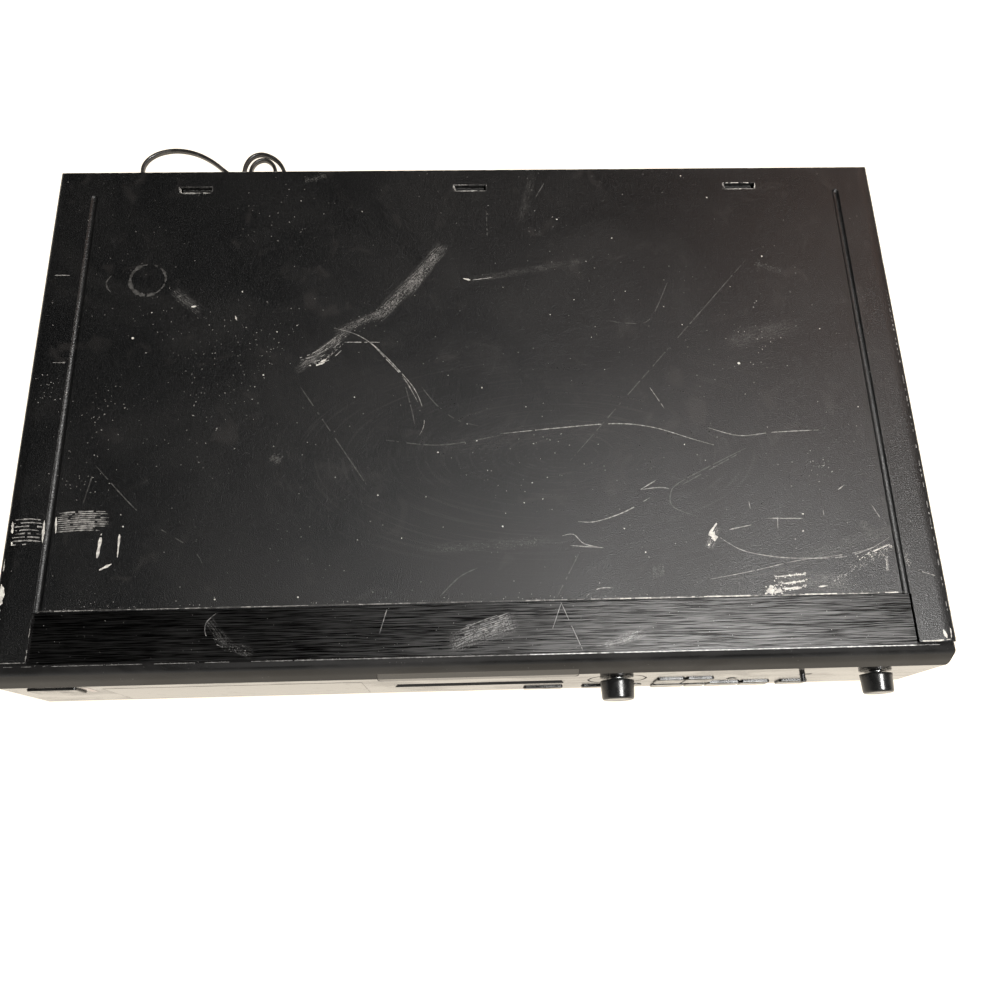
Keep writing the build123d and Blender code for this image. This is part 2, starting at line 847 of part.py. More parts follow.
def rear_tab(side):
    """A block folded up at a rear corner that a rear screw bites into."""
    x = on_side(side, chassis_half - 15.0, chassis_half - steel)
    tab = block(x, (panel_front_y - screw_length, panel_front_y), onward(chassis_top, 20.0))
    bore_y = (panel_front_y - screw_length - 1, panel_front_y + 1)
    return tab - rod_y(side * rear_tab_x, bore_y, rear_tab_z, screw_bore)


def chassis():
    """The bottom tray: floor, side flanges, standoffs, vents, rear tabs and screw holes."""
    floor_y = (face_y + skirt_run + fit_gap, back_y)
    tray = block((-chassis_half, chassis_half), floor_y, (chassis_under, chassis_top))
    for side in (-1, 1):
        x = on_side(side, chassis_half - steel, chassis_half)
        flange_start = face_y + side_return + 1
        tray = tray + block(x, (flange_start, panel_front_y - fit_gap), onward(chassis_top, 24.0))
        tray = tray + rear_tab(side)
    for side, y in side_screw_places:
        x = on_side(side, chassis_half - 2 * steel, chassis_half + 1)
        tray = tray - rod_x(x, y, side_screw_z, screw_bore)
    for x, y in board_screw_places:
        tray = tray + tube_z(x, y, onward(chassis_top, standoff_height), standoff_radius, screw_bore)
    for x, y in foot_places:
        tray = tray - rod_z(x, y, (chassis_under - 1, chassis_top + 1), foot_screw_radius + running_gap)
    for slot in vent_slots():
        tray = tray - slot
    return tray


def foot(x, y):
    """A moulded foot with a recess for its screw."""
    body = rod_z(x, y, (0, foot_height), foot_radius)
    body = fillet(body.edges().group_by(Axis.Z)[0], foot_round)
    recess = rod_z(x, y, (-1, foot_height - foot_seat), foot_recess_radius)
    return body - recess - rod_z(x, y, (0, foot_height + 1), foot_screw_radius + running_gap)


def foot_screw(x, y):
    """The screw that holds a foot, its head up in the recess."""
    seat = foot_height - foot_seat
    head = rod_z(x, y, (seat - screw_head_height, seat), 2 * foot_screw_radius)
    return head + rod_z(x, y, (seat, chassis_top + foot_seat), foot_screw_radius)


save("bottom_chassis", chassis())
save("feet", *[foot(x, y) for x, y in foot_places])


# Rear panel and its connectors
jack_x = onward(main_board_x[0] + jack_column_gap, jack_column_gap)
jack_z = onward(board_top + jack_rise, jack_pitch)
jack_places = [(x, z) for x in jack_x for z in jack_z]
jack_screw = (sum(jack_x) / 2, sum(jack_z) / 2)
rear_screw_places = [jack_screw, (-rear_tab_x, rear_tab_z), (rear_tab_x, rear_tab_z)]
optical_start = jack_x[1] + jack_border + optical_size
optical_x = [optical_start + index * optical_pitch for index in range(3)]
optical_z = onward(board_top, optical_size)
rear_hole_y = (panel_front_y - 1, back_y + 1)


def rear_panel():
    """The upright rear sheet with bottom and top flanges and all its openings."""
    sheet = block((-panel_half, panel_half), (panel_front_y, back_y), (chassis_top, ledge_z))
    top_y = (panel_front_y - flange_depth, panel_front_y)
    low_y = (panel_front_y - flange_depth / 2, panel_front_y)
    low_half = chassis_half - 20.0
    sheet = sheet + block((-panel_half, panel_half), top_y, (ledge_z - steel, ledge_z))
    sheet = sheet + block((-low_half, low_half), low_y, (chassis_top, chassis_top + steel))
    for x, z in jack_places:
        sheet = sheet - rod_y(x, rear_hole_y, z, jack_radius + fit_gap)
    for x in optical_x:
        sheet = sheet - block(grown(around(x, optical_size), fit_gap), rear_hole_y, grown(optical_z, fit_gap))
    for x, z in rear_screw_places:
        sheet = sheet - rod_y(x, rear_hole_y, z, screw_bore)
    return sheet - rod_y(cord_x, rear_hole_y, cord_height, relief_radius)


def jack_block():
    """The moulded body of the line jacks, with an insulator running out through each one."""
    body_y = (panel_front_y - jack_block_depth, panel_front_y)
    body = block(grown(jack_x, jack_border), body_y, (board_top, jack_z[1] + jack_border))
    body = body - rod_y(jack_screw[0], (panel_front_y - screw_length - 1, back_y), jack_screw[1], screw_bore)
    insert_end = back_y + jack_reach - 2 * fit_gap
    for x, z in jack_places:
        body = body + rod_y(x, (panel_front_y, insert_end), z, jack_radius - jack_wall)
        body = body - rod_y(x, (back_y, insert_end + 1), z, jack_bore)
    return body


def jack_barrel(x, z):
    """The plated outer contact of one line jack, with a shoulder that centres it in the rear sheet."""
    bore = jack_radius - jack_wall
    shoulder = tube_y(x, (panel_front_y, back_y), z, jack_radius + fit_gap - running_gap, bore)
    return shoulder + tube_y(x, (back_y, back_y + jack_reach), z, jack_radius, bore)


def optical_socket(x):
    """A square optical socket standing on the main board."""
    length = (panel_front_y - optical_size, back_y + optical_reach)
    return block(around(x, optical_size), length, optical_z)


def rear_screw(x, z):
    """A screw through the rear sheet."""
    head = rod_y(x, onward(back_y, screw_head_height), z, screw_head)
    return head + rod_y(x, (back_y - screw_length, back_y), z, screw_shank)


case_screws = [side_screw(side, y) for side, y in side_screw_places]
case_screws += [rear_screw(x, z) for x, z in rear_screw_places]
case_screws += [foot_screw(x, y) for x, y in foot_places]
save("case_screws", *case_screws)
save("rear_panel", rear_panel())
save("jack_block", jack_block())
save("jack_barrels", *[jack_barrel(x, z) for x, z in jack_places])
save("optical_sockets", *[optical_socket(x) for x in optical_x])


# Flat boards, and what stands on them
def flat_board(x, y):
    """A board on four standoffs."""
    z = (board_top - board_thickness, board_top)
    board = block(x, y, z)
    for across, along in board_screw_places:
        board = board - rod_z(across, along, grown(z, 1), screw_hole)
    return board


def board_screw(x, y):
    """A screw down through a flat board into its standoff."""
    head = rod_z(x, y, onward(board_top, screw_head_height), screw_head)
    return head + rod_z(x, y, (board_top - screw_length, board_top), screw_shank)


save("main_board", flat_board(main_board_x, main_board_y))
save("power_board", flat_board(power_board_x, power_board_y))
board_screws = [board_screw(x, y) for x, y in board_screw_places]
board_screws += [panel_board_screw(x, z) for x, z in panel_bosses]
save("board_screws", *board_screws)

# Capacitors: distance from the board's left and front edges, radius, height
power_cans = [(21.0, 70.0, 9.0, 26.0), (43.0, 70.0, 9.0, 26.0),
              (21.0, 94.0, 6.5, 18.0), (39.0, 94.0, 6.5, 18.0)]
main_cans = [(30.0, 100.0, 4.0, 11.0), (44.0, 100.0, 4.0, 11.0), (58.0, 120.0, 4.0, 11.0)]
capacitors = []
for left, front, cans in ((power_board_x[0], power_board_y[0], power_cans),
                          (main_board_x[0], main_board_y[0], main_cans)):
    for right, back, radius, height in cans:
        capacitors.append(rod_z(left + right, front + back, onward(board_top, height), radius))
save("capacitors", *capacitors)

sink_thickness = 2.0
sink_size = (60.0, 34.0)
sink_fins = 8
fin_size = (12.0, 1.5)
sink_x = onward(sum(power_board_x) / 2 + 12.0, sink_thickness)
sink_y = onward(power_board_y[0] + 40.0, sink_size[0])
sink_z = onward(board_top, sink_size[1])
regulator_size = (4.4, 10.0, 15.0)
leg_length = 8.0
leg_pitch = 2.5
leg_size = 0.8


def heatsink():
    """An upright plate with fins on one side."""
    body = block(sink_x, sink_y, sink_z)
    spacing = (sink_size[0] - fin_size[1]) / (sink_fins - 1)
    for index in range(sink_fins):
        fin_y = onward(sink_y[0] + index * spacing, fin_size[1])
        body = body + block(onward(sink_x[1], fin_size[0]), fin_y, sink_z)
    return body


def regulator(y):
    """A power regulator, its back against the heatsink and its legs on the board."""
    body_x = (sink_x[0] - regulator_size[0], sink_x[0])
    body = block(body_x, around(y, regulator_size[1]), onward(board_top + leg_length, regulator_size[2]))
    for index in (-1, 0, 1):
        leg_y = around(y + index * leg_pitch, leg_size)
        body = body + block(around(sum(body_x) / 2, leg_size), leg_y, onward(board_top, leg_length))
    return body


# Flat packages: distance from the main board's left and front edges, width, depth
chips = [(62.0, 40.0, 24.0, 24.0), (92.0, 75.0, 18.0, 10.0), (52.0, 78.0, 14.0, 14.0)]
chip_z = onward(board_top, 2.4)
circuits = []
for right, back, wide, deep in chips:
    chip_x = around(main_board_x[0] + right, wide)
    chip_y = around(main_board_y[0] + back, deep)
    circuits.append(block(chip_x, chip_y, chip_z))
for index in (1, 3, 5):
    circuits.append(regulator(sink_y[0] + index * sink_size[0] / 6))
save("heatsink", heatsink())
save("integrated_circuits", *circuits)

# A flat cable between the two boards, behind the mechanism
ribbon_y = around(power_board_y[1] - ribbon_inset, ribbon_width)
ribbon_x = (power_board_x[1] - ribbon_lap, main_board_x[0] + ribbon_lap)
ribbon_z = onward(board_top, ribbon_rise)
ribbon_inside_z = (board_top - 1, ribbon_z[1] - ribbon_thickness)
ribbon_inside = block(grown(ribbon_x, -ribbon_thickness), grown(ribbon_y, 1), ribbon_inside_z)
save("ribbon_cable", block(ribbon_x, ribbon_y, ribbon_z) - ribbon_inside)


# Mains transformer
core_x = around(-half_width + core_side_gap, core_width)
core_y = around(back_y - core_rear_gap, core_depth)
core_z = onward(chassis_top, core_height)
core_middle = sum(core_x) / 2
core_opening = core_width / 2 - 2 * core_limb
opening_z = grown(core_z, -core_limb)


def core():
    """The laminated core with two openings for the winding."""
    body = block(core_x, core_y, core_z)
    for side in (-1, 1):
        near, far = core_middle + side * core_limb, core_middle + side * (core_limb + core_opening)
        body = body - block(sorted((near, far)), grown(core_y, 1), opening_z)
    return body


def winding():
    """The bobbin and its wire around the middle limb."""
    reach = core_limb + core_opening - coil_gap
    coil_y = grown(core_y, core_opening - coil_overhang)
    outer = block(around(core_middle, 2 * reach), coil_y, grown(opening_z, -coil_gap))
    limb = block(around(core_middle, 2 * (core_limb + running_gap)), grown(core_y, running_gap), core_z)
    return outer - limb


save("transformer_core", core())
save("transformer_winding", winding())


# Disc mechanism
mech_y = face_y + mechanism_setback
base_z = slot_z - base_drop
base_top = base_z + base_thickness
holder_half = cartridge_width / 2 + cartridge_play + holder_wall
holder_half_height = cartridge_thickness / 2 + cartridge_play + holder_wall
holder_y = (mech_y, mech_y + cartridge_depth + 2 * holder_wall)
holder_z = around(slot_z, 2 * holder_half_height)
spindle_y = mech_y + holder_wall + cartridge_depth / 2
pin_y = onward(mech_y + pin_setback, pin_spacing)
pin_slot_radius = pin_radius + pin_gap
wall_outer = side_wall_offset + side_wall
slider_x = onward(wall_outer + 0.8, side_wall)
slider_y = onward(mech_y, slider_length)
slider_z = (base_top + 5.0, slot_z + 5.0)
bracket_top = base_z - damper_height
bracket_y = (mech_y + 2.0, mech_y + mechanism_depth - 4.0)
damper_x = bracket_half_width - 7.0
damper_y = (mech_y + 8.0, mech_y + mechanism_depth - 10.0)
damper_places = [(x, y) for x in (-damper_x, damper_x) for y in damper_y]
stud_top = base_top + base_thickness


def capsule_slot(start, end, radius, x):
    """A straight slot with round ends between two (Y, Z) points, cut along X."""
    run, rise = end[0] - start[0], end[1] - start[1]
    bar = Box(x[1] - x[0], math.hypot(run, rise), 2 * radius)
    middle = Pos(sum(x) / 2, (start[0] + end[0]) / 2, (start[1] + end[1]) / 2)
    bar = middle * Rot(math.degrees(math.atan2(rise, run)), 0, 0) * bar
    return bar + rod_x(x, *start, radius) + rod_x(x, *end, radius)


def mechanism_bracket():
    """The table that stands on the chassis, with a stud in each damper."""
    top_z = (bracket_top - bracket_thickness, bracket_top)
    body = block((-bracket_half_width, bracket_half_width), bracket_y, top_z)
    opening_half = damper_x - 3 * damper_radius
    opening_y = grown(bracket_y, -bracket_leg - 2.0)
    body = body - block((-opening_half, opening_half), opening_y, (bracket_top - 3, bracket_top + 1))
    for side in (-1, 1):
        leg_x = on_side(side, bracket_half_width - bracket_thickness, bracket_half_width)
        toe_x = on_side(side, bracket_half_width, bracket_half_width + bracket_toe)
        for y in (onward(bracket_y[0], bracket_leg), onward(bracket_y[1] - bracket_leg, bracket_leg)):
            body = body + block(leg_x, y, (chassis_top, bracket_top))
            body = body + block(toe_x, y, onward(chassis_top, bracket_thickness))
    for x, y in damper_places:
        body = body + rod_z(x, y, (bracket_top, stud_top), pin_radius)
    return body


pinion_pitch = gear_module * pinion_teeth / 2
gear_pitch = gear_module * gear_teeth / 2
motor_pitch = gear_module * motor_teeth / 2
gear_axis = (rack_offset + pinion_pitch, mech_y + 46.0)
motor_axis = (gear_axis[0], gear_axis[1] + gear_pitch + motor_pitch)
rod_level = base_top + rod_height
rod_bore = axle_radius + running_gap
sled_y = onward(spindle_y + spindle_motor_radius + 1.5, sled_length)
rail_y = (sled_y[0] - 1.5, sled_y[1] + sled_travel + 4.0)
bearing_y = [(rail_y[0] - bearing_width, rail_y[0]), (rail_y[1], rail_y[1] + bearing_width)]
rod_end_wall = 0.8
rod_span = (bearing_y[0][0] + rod_end_wall, bearing_y[1][1] - rod_end_wall)


def mechanism_base():
    """The base plate with slotted walls, slider rail, gear axle and rod bearings."""
    right = gear_axis[0] + gear_pitch + 4.0
    plate = block((-bracket_half_width - 2.0, right), onward(mech_y, mechanism_depth), (base_z, base_top))
    cutout_y = (motor_axis[1] + motor_radius + 4.0, mech_y + mechanism_depth + 1)
    plate = plate - block((gear_axis[0] - pinion_pitch, right + 1), cutout_y, (base_z - 1, base_top + 1))
    for side in (-1, 1):
        x = on_side(side, side_wall_offset, wall_outer)
        wall = block(x, (mech_y + 6.0, holder_y[1] - 6.0), (base_top, slot_z + 7.0))
        for y in pin_y:
            wall = wall - capsule_slot((y, slot_z), (y, slot_z - holder_drop), pin_slot_radius, grown(x, 1))
        plate = plate + wall
    rail_length = (slider_y[0] + 1.0, slider_y[1] + cam_travel)
    plate = plate + block(slider_x, rail_length, (base_top, slider_z[0] - fit_gap))
    plate = plate + rod_z(*gear_axis, (base_z, base_top + 13.0), axle_radius)
    plate = plate - rod_z(*motor_axis, (base_z - 1, base_top + 1), 2.5 * motor_shaft_radius)
    for x in (rod_left, rod_right, screw_offset):
        for y in bearing_y:
            plate = plate + block(around(x, 4 * axle_radius), y, (base_top, rod_level + 3.5))
        plate = plate - rod_y(x, rod_span, rod_level, rod_bore)
    plate = plate - rod_y(screw_offset, (rail_y[1], bearing_y[1][1] + 1), rod_level, rod_bore)
    for x, y in damper_places:
        plate = plate - rod_z(x, y, (base_z - 1, base_top + 1), pin_slot_radius)
    return plate


def cartridge_holder():
    """The sleeve that takes the cartridge, with a pin at each corner."""
    inside_y = (holder_y[0] - 1, holder_y[1] - holder_wall)
    body = block((-holder_half, holder_half), holder_y, holder_z)
    inside_half = holder_half - holder_wall
    body = body - block((-inside_half, inside_half), inside_y, grown(holder_z, -holder_wall))
    floor_z = (holder_z[0] - 1, holder_z[0] + holder_wall + 1)
    roof_z = (holder_z[1] - holder_wall - 1, holder_z[1] + 1)
    window = (spindle_y, inside_y[1] - 3.0)
    head_way = grown((-head_arm_width / 2, head_arm_width / 2), 5.0)
    body = body - rod_z(0, spindle_y, floor_z, hub_hole_radius)
    body = body - block(head_way, window, floor_z) - block(head_way, window, roof_z)
    for y in pin_y:
        body = body + rod_x((inside_half + running_gap, slider_x[1] + 1.0), y, slot_z, pin_radius)
        body = body + rod_x((-wall_outer - 1.0, -inside_half - running_gap), y, slot_z, pin_radius)
    return body


tooth_pitch = math.pi * gear_module
tooth_root_half = 0.27 * tooth_pitch
tooth_tip_half = 0.09 * tooth_pitch
addendum = 0.85 * gear_module
dedendum = 1.2 * gear_module


def gear_disc(axis, teeth, first_angle, z):
    """A spur gear with thin straight-sided teeth, so that it runs with backlash."""
    pitch_radius = gear_module * teeth / 2
    root, tip = pitch_radius - dedendum, pitch_radius + addendum
    corners = ((root, -tooth_root_half), (tip, -tooth_tip_half),
               (tip, tooth_tip_half), (root, tooth_root_half))
    points = []
    for index in range(teeth):
        angle = math.radians(first_angle) + index * 2 * math.pi / teeth
        for radius, along in corners:
            turn = angle + along / radius
            points.append((axis[0] + radius * math.cos(turn), axis[1] + radius * math.sin(turn)))
    outline = make_face(Polyline(*points, close=True))
    return Pos(0, 0, z[0]) * extrude(outline, z[1] - z[0])


large_gear_z = (base_top + fit_gap, base_top + 3.1)
pinion_z = (base_top + 7.0, base_top + 12.0)
rack_z = (base_top + 8.5, base_top + 10.5)
rack_teeth = (-10, 6)


def rack():
    """The rack on the slider's side, with one tooth level with the gear's axis."""
    root_x, tip_x = rack_offset - dedendum, rack_offset + addendum
    start_y = gear_axis[1] + (rack_teeth[0] - 1) * tooth_pitch
    end_y = gear_axis[1] + (rack_teeth[1] + 1) * tooth_pitch
    points = [(slider_x[1], start_y), (root_x, start_y)]
    for index in range(rack_teeth[0], rack_teeth[1] + 1):
        y = gear_axis[1] + index * tooth_pitch
        points += [(root_x, y - tooth_root_half), (tip_x, y - tooth_tip_half)]
        points += [(tip_x, y + tooth_tip_half), (root_x, y + tooth_root_half)]
    points += [(root_x, end_y), (slider_x[1], end_y)]
    return Pos(0, 0, rack_z[0]) * extrude(make_face(Polyline(*points, close=True)), rack_z[1] - rack_z[0])


def cam_slider():
    """The side slider: slanted slots that lower the holder, and the rack that drives it."""
    body = block(slider_x, slider_y, slider_z)
    for y in pin_y:
        low_end = (y - cam_travel, slot_z - holder_drop)
        body = body - capsule_slot((y, slot_z), low_end, pin_slot_radius, grown(slider_x, 1))
    return body + rack()


def loading_gear():
    """The compound gear between the motor's pinion and the rack."""
    large = gear_disc(gear_axis, gear_teeth, 90.0, large_gear_z)
    small = gear_disc(gear_axis, pinion_teeth, 180.0 + 180.0 / pinion_teeth, pinion_z)
    hub = rod_z(*gear_axis, (large_gear_z[0], pinion_z[0]), pinion_pitch - 2 * gear_module)
    return large + small + hub - rod_z(*gear_axis, (base_top, pinion_z[1] + 1), rod_bore)


def motor_pinion():
    """The loading motor's pinion on its shaft."""
    gear_z = (large_gear_z[0], large_gear_z[1] + fit_gap)
    gear = gear_disc(motor_axis, motor_teeth, 270.0 + 180.0 / motor_teeth, gear_z)
    return gear + rod_z(*motor_axis, (base_z - motor_height / 2, large_gear_z[1]), motor_shaft_radius)


motor_bore = motor_shaft_radius + running_gap
spindle_top = base_top + spindle_motor_height
spindle_shaft_z = (base_top + 2.0, spindle_top + 1.0)


def loading_motor():
    """The motor that hangs under the base."""
    can = rod_z(*motor_axis, (base_z - motor_height, base_z), motor_radius)
    return can - rod_z(*motor_axis, (base_z - motor_height / 2 - 1, base_z + 1), motor_bore)


def spindle_motor():
    """The flat motor under the disc."""
    body = rod_z(0, spindle_y, (base_top, spindle_top), spindle_motor_radius)
    return body - rod_z(0, spindle_y, (spindle_shaft_z[0] - running_gap, spindle_top + 1), motor_bore)


sled_motor_y = onward(bearing_y[1][1], 15.0)
lead_screw_y = (rod_span[0], sled_motor_y[0] + 6.0)


def sled_motor():
    """The motor that turns the lead screw."""
    can = rod_y(screw_offset, sled_motor_y, rod_level, rod_height - fit_gap)
    return can - rod_y(screw_offset, (sled_motor_y[0] - 1, lead_screw_y[1] + 1), rod_level, rod_bore)


def turntable():
    """The small table that takes the disc's hub, on the motor's shaft."""
    plate_z = onward(spindle_top + fit_gap, 2.0)
    plate = rod_z(0, spindle_y, plate_z, turntable_radius)
    boss = rod_z(0, spindle_y, onward(plate_z[1], 4.0), turntable_radius * 0.45)
    return plate + boss + rod_z(0, spindle_y, spindle_shaft_z, motor_shaft_radius)


sled_z = (rod_level - 3.5, rod_level + 5.5)
head_pivot = (sled_y[1] - 1.5, slot_z + 7.0)
head_pin_radius = 1.0
head_half = head_arm_width / 2
fork_half = head_half + 2.5


def pickup_sled():
    """The sled with its bores, its lens turret and the post that carries the magnetic head."""
    body = block((rod_left - 4.0, rod_right + 4.0), sled_y, sled_z)
    for x in (rod_left, rod_right, screw_offset):
        body = body - rod_y(x, grown(sled_y, 1), rod_level, rod_bore)
    lens_y = spindle_y + lens_inner_radius
    body = body + tube_z(0, lens_y, onward(sled_z[1], 0.8), 4.5, 3.0)
    body = body + rod_z(0, lens_y, onward(sled_z[1], 0.5), 2.6)
    post_y = around(head_pivot[0], 3.0)
    fork_z = (head_pivot[1] - 2.4, head_pivot[1] + 2.0)
    body = body + block((-fork_half, fork_half), post_y, (sled_z[1], fork_z[0]))
    for side in (-1, 1):
        body = body + block(on_side(side, head_half + fit_gap, fork_half), post_y, fork_z)
    return body + rod_x((-fork_half, fork_half), *head_pivot, head_pin_radius)


def head_arm():
    """The arm over the disc with the magnetic head under its tip."""
    tip_y = head_pivot[0] - head_arm_length
    width = (-head_half, head_half)
    blade = block(width, (tip_y - 4.0, head_pivot[0]), around(head_pivot[1], 1.2))
    barrel = rod_x(width, *head_pivot, 1.9)
    head = block(grown(width, -0.8), around(tip_y, 6.0), (head_pivot[1] - 2.0, head_pivot[1]))
    return blade + barrel + head - rod_x(grown(width, 1), *head_pivot, head_pin_radius + running_gap)


damper_bore = pin_radius + running_gap
dampers = [tube_z(x, y, (bracket_top, base_z), damper_radius, damper_bore) for x, y in damper_places]
guide_rods = [rod_y(x, rod_span, rod_level, axle_radius) for x in (rod_left, rod_right)]
save("mechanism_bracket", mechanism_bracket())
save("dampers", *dampers)
save("mechanism_base", mechanism_base())
save("cartridge_holder", cartridge_holder())
save("cam_slider", cam_slider())
save("loading_gear", loading_gear())
save("motor_pinion", motor_pinion())
save("drive_motors", loading_motor(), spindle_motor(), sled_motor())
save("turntable", turntable())
save("pickup_sled", pickup_sled())
save("magnetic_head_arm", head_arm())
save("guide_rods", *guide_rods)
save("lead_screw", rod_y(screw_offset, lead_screw_y, rod_level, axle_radius))


# Mains lead: strain relief, free run with a small double loop, hank, tail and plug
relief_y = (panel_front_y - relief_flange, back_y + relief_flange)
boot_end_y = relief_y[1] + boot_length


def strain_relief():
    """The moulded relief in the rear panel, with a tapered boot outside."""
    body = rod_y(cord_x, (relief_y[0], panel_front_y), cord_height, relief_radius + relief_flange)
    body = body + rod_y(cord_x, (panel_front_y, back_y), cord_height, relief_radius - running_gap)
    body = body + rod_y(cord_x, (back_y, relief_y[1]), cord_height, relief_radius + relief_flange)
    boot = Cone(boot_end_radius, boot_radius, boot_length)
    return body + Pos(cord_x, (relief_y[1] + boot_end_y) / 2, cord_height) * Rot(90, 0, 0) * boot


# Every route point is measured from the exit in X, from the rear panel in Y, from the floor in Z
cord_rest = cord_diameter / 2 + floor_gap
cord_over = cord_rest + cord_diameter + fit_gap
hank_x = onward(cord_x + hank_offset[0], hank_size[0])
hank_y = onward(back_y + hank_offset[1], hank_size[1])
hank_z = onward(floor_gap, hank_size[2])
hank_middle = hank_offset[1] + hank_size[1] / 2
hank_start = hank_offset[0]
hank_end = hank_start + hank_size[0]
boot_end = boot_end_y - back_y
plug_z = floor_gap + plug_size[2] / 2
free_route = [
    (0, boot_end, cord_height),
    (0, boot_end + 8.0, cord_height),
    (-1.5, 43.0, cord_height - 4),
    (-6.0, 50.5, cord_height - 12),
    (-14.0, 55.5, cord_height - 23),
    (-24.5, 59.0, cord_rest + 3.7),
    (-37.5, 64.0, cord_rest),
    (-47.0, 71.0, cord_rest),
    (-47.8, 82.0, cord_rest),
    (-40.5, 90.3, cord_rest),
    (-28.0, 93.5, cord_rest),
    (-14.5, 91.0, cord_rest),
    (-2.5, 84.0, cord_rest),
    (6.5, 75.5, cord_rest),
    (14.0, 69.3, cord_rest),
    (22.0, 64.8, cord_rest),
    (30.0, 63.4, cord_rest),
    (36.8, 67.5, cord_rest),
    (39.2, 74.5, cord_rest),
    (37.0, 81.5, cord_rest),
    (31.5, 85.6, cord_rest),
    (25.3, 83.2, cord_rest),
    (22.6, 76.8, cord_rest + 0.4),
    (23.3, 69.8, cord_rest + 2.2),
    (26.0, 63.0, cord_over + 0.4),
    (31.0, 57.5, cord_over),
    (38.3, 56.0, cord_rest + 3.0),
    (44.3, 60.5, cord_rest + 2.0),
    (46.2, 68.0, cord_rest + 1.8),
    (44.2, 76.5, cord_rest + 2.4),
    (39.4, 82.6, cord_rest + 3.5),
    (31.0, 86.6, cord_over),
    (24.2, 84.8, cord_over),
    (20.2, 78.6, cord_over),
    (19.2, 70.0, cord_over),
    (21.0, 61.0, cord_over),
    (26.0, 53.3, cord_rest + 2.8),
    (33.0, 46.5, cord_rest + 1.2),
    (41.0, 40.0, cord_rest + 0.2),
    (hank_start - 8.0, hank_middle, cord_rest),
    (hank_start, hank_middle, cord_rest),
]
tail_route = [
    (hank_end, hank_middle, cord_rest),
    (hank_end + 8.0, hank_middle, cord_rest),
    (hank_end + 18.0, hank_middle + 2.5, cord_rest + 0.6),
    (hank_end + 29.0, hank_middle + 4.5, plug_z - 2.0),
    (hank_end + 40.0, hank_middle + 5.0, plug_z),
    (hank_end + 48.0, hank_middle + 5.0, plug_z),
]


def corner_radii(points):
    """The largest even arc at each corner: 0.45 of the shorter run over tan(half the turn)."""
    radii = []
    for before, here, after in zip(points, points[1:], points[2:]):
        run_in = Vector(*here) - Vector(*before)
        run_out = Vector(*after) - Vector(*here)
        half_turn = math.radians(run_in.get_angle(run_out)) / 2
        radii.append(0.45 * min(run_in.length, run_out.length) / math.tan(half_turn))
    return radii


def cord_tube(route):
    """A plain round tube along straight runs joined by tangent arcs."""
    points = [(cord_x + x, back_y + y, z) for x, y, z in route]
    radii = corner_radii(points)
    path = FilletPolyline(*points, radius=radii)
    section = Plane(origin=path @ 0, z_dir=path % 0) * Circle(cord_diameter / 2)
    return sweep(section, path=path)


def hank_ring():
    """The outer shape of the tied hank: a flat ring with round corners."""
    hole_x, hole_y = grown(hank_x, -hank_bore), grown(hank_y, -hank_bore)
    hole = rounded_top(hole_x, hole_y, grown(hank_z, 1), hank_corner - hank_bore)
    return rounded_top(hank_x, hank_y, hank_z, hank_corner) - hole


def cord_tie():
    """A small band around one side of the hank."""
    x = around(sum(hank_x) / 2, tie_width)
    inside_y = grown(onward(hank_y[0], hank_bore), fit_gap / 2)
    band = block(x, grown(inside_y, tie_thickness), (hank_z[0], hank_z[1] + tie_thickness))
    return band - block(grown(x, 1), inside_y, (hank_z[0] - 1, hank_z[1]))


def plug():
    """A flat two-blade plug lying beside the hank."""
    start, y = cord_x + tail_route[-1][0], back_y + tail_route[-1][1]
    grip_x = onward(start + plug_neck, plug_size[0])
    grip = block(grip_x, around(y, plug_size[1]), onward(floor_gap, plug_size[2]))
    grip = fillet(grip.edges().filter_by(Axis.X), 2 * corner_radius)
    body = grip + rod_x((start, grip_x[0]), y, plug_z, boot_end_radius)
    for side in (-1, 1):
        blade_y = around(y + side * blade_spacing / 2, blade_size[1])
        body = body + block(onward(grip_x[1], blade_size[0]), blade_y, around(plug_z, blade_size[2]))
    return body


save("strain_relief", strain_relief())
save("mains_cord", cord_tube(free_route), cord_tube(tail_route))
save("mains_cord_hank", hank_ring())
save("cord_tie", cord_tie())
save("mains_plug", plug())
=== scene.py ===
"""Looks of the deck: camera, mains lead, materials, wear and painted highlights, floor and light."""

import json
import math
import random

import bpy
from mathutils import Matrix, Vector

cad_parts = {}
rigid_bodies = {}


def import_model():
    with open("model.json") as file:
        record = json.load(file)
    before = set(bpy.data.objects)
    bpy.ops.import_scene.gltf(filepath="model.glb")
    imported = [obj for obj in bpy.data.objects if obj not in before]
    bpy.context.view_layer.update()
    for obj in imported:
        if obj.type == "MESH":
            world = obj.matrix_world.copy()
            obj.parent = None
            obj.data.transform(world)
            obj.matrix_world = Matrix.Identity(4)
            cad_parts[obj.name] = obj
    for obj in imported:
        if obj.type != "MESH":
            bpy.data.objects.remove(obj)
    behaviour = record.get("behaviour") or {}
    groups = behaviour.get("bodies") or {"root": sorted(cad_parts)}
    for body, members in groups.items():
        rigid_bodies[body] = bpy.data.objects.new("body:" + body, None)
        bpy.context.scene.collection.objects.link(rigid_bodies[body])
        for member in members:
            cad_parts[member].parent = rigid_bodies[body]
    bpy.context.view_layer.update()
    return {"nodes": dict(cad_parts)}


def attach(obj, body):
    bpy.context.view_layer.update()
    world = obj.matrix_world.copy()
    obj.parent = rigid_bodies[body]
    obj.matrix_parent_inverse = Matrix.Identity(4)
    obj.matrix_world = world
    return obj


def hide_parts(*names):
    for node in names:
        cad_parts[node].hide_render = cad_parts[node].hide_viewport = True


for startup_object in list(bpy.data.objects):
    bpy.data.objects.remove(startup_object)

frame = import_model()
nodes = frame["nodes"]
chance = random.Random(11)

MM = 0.001
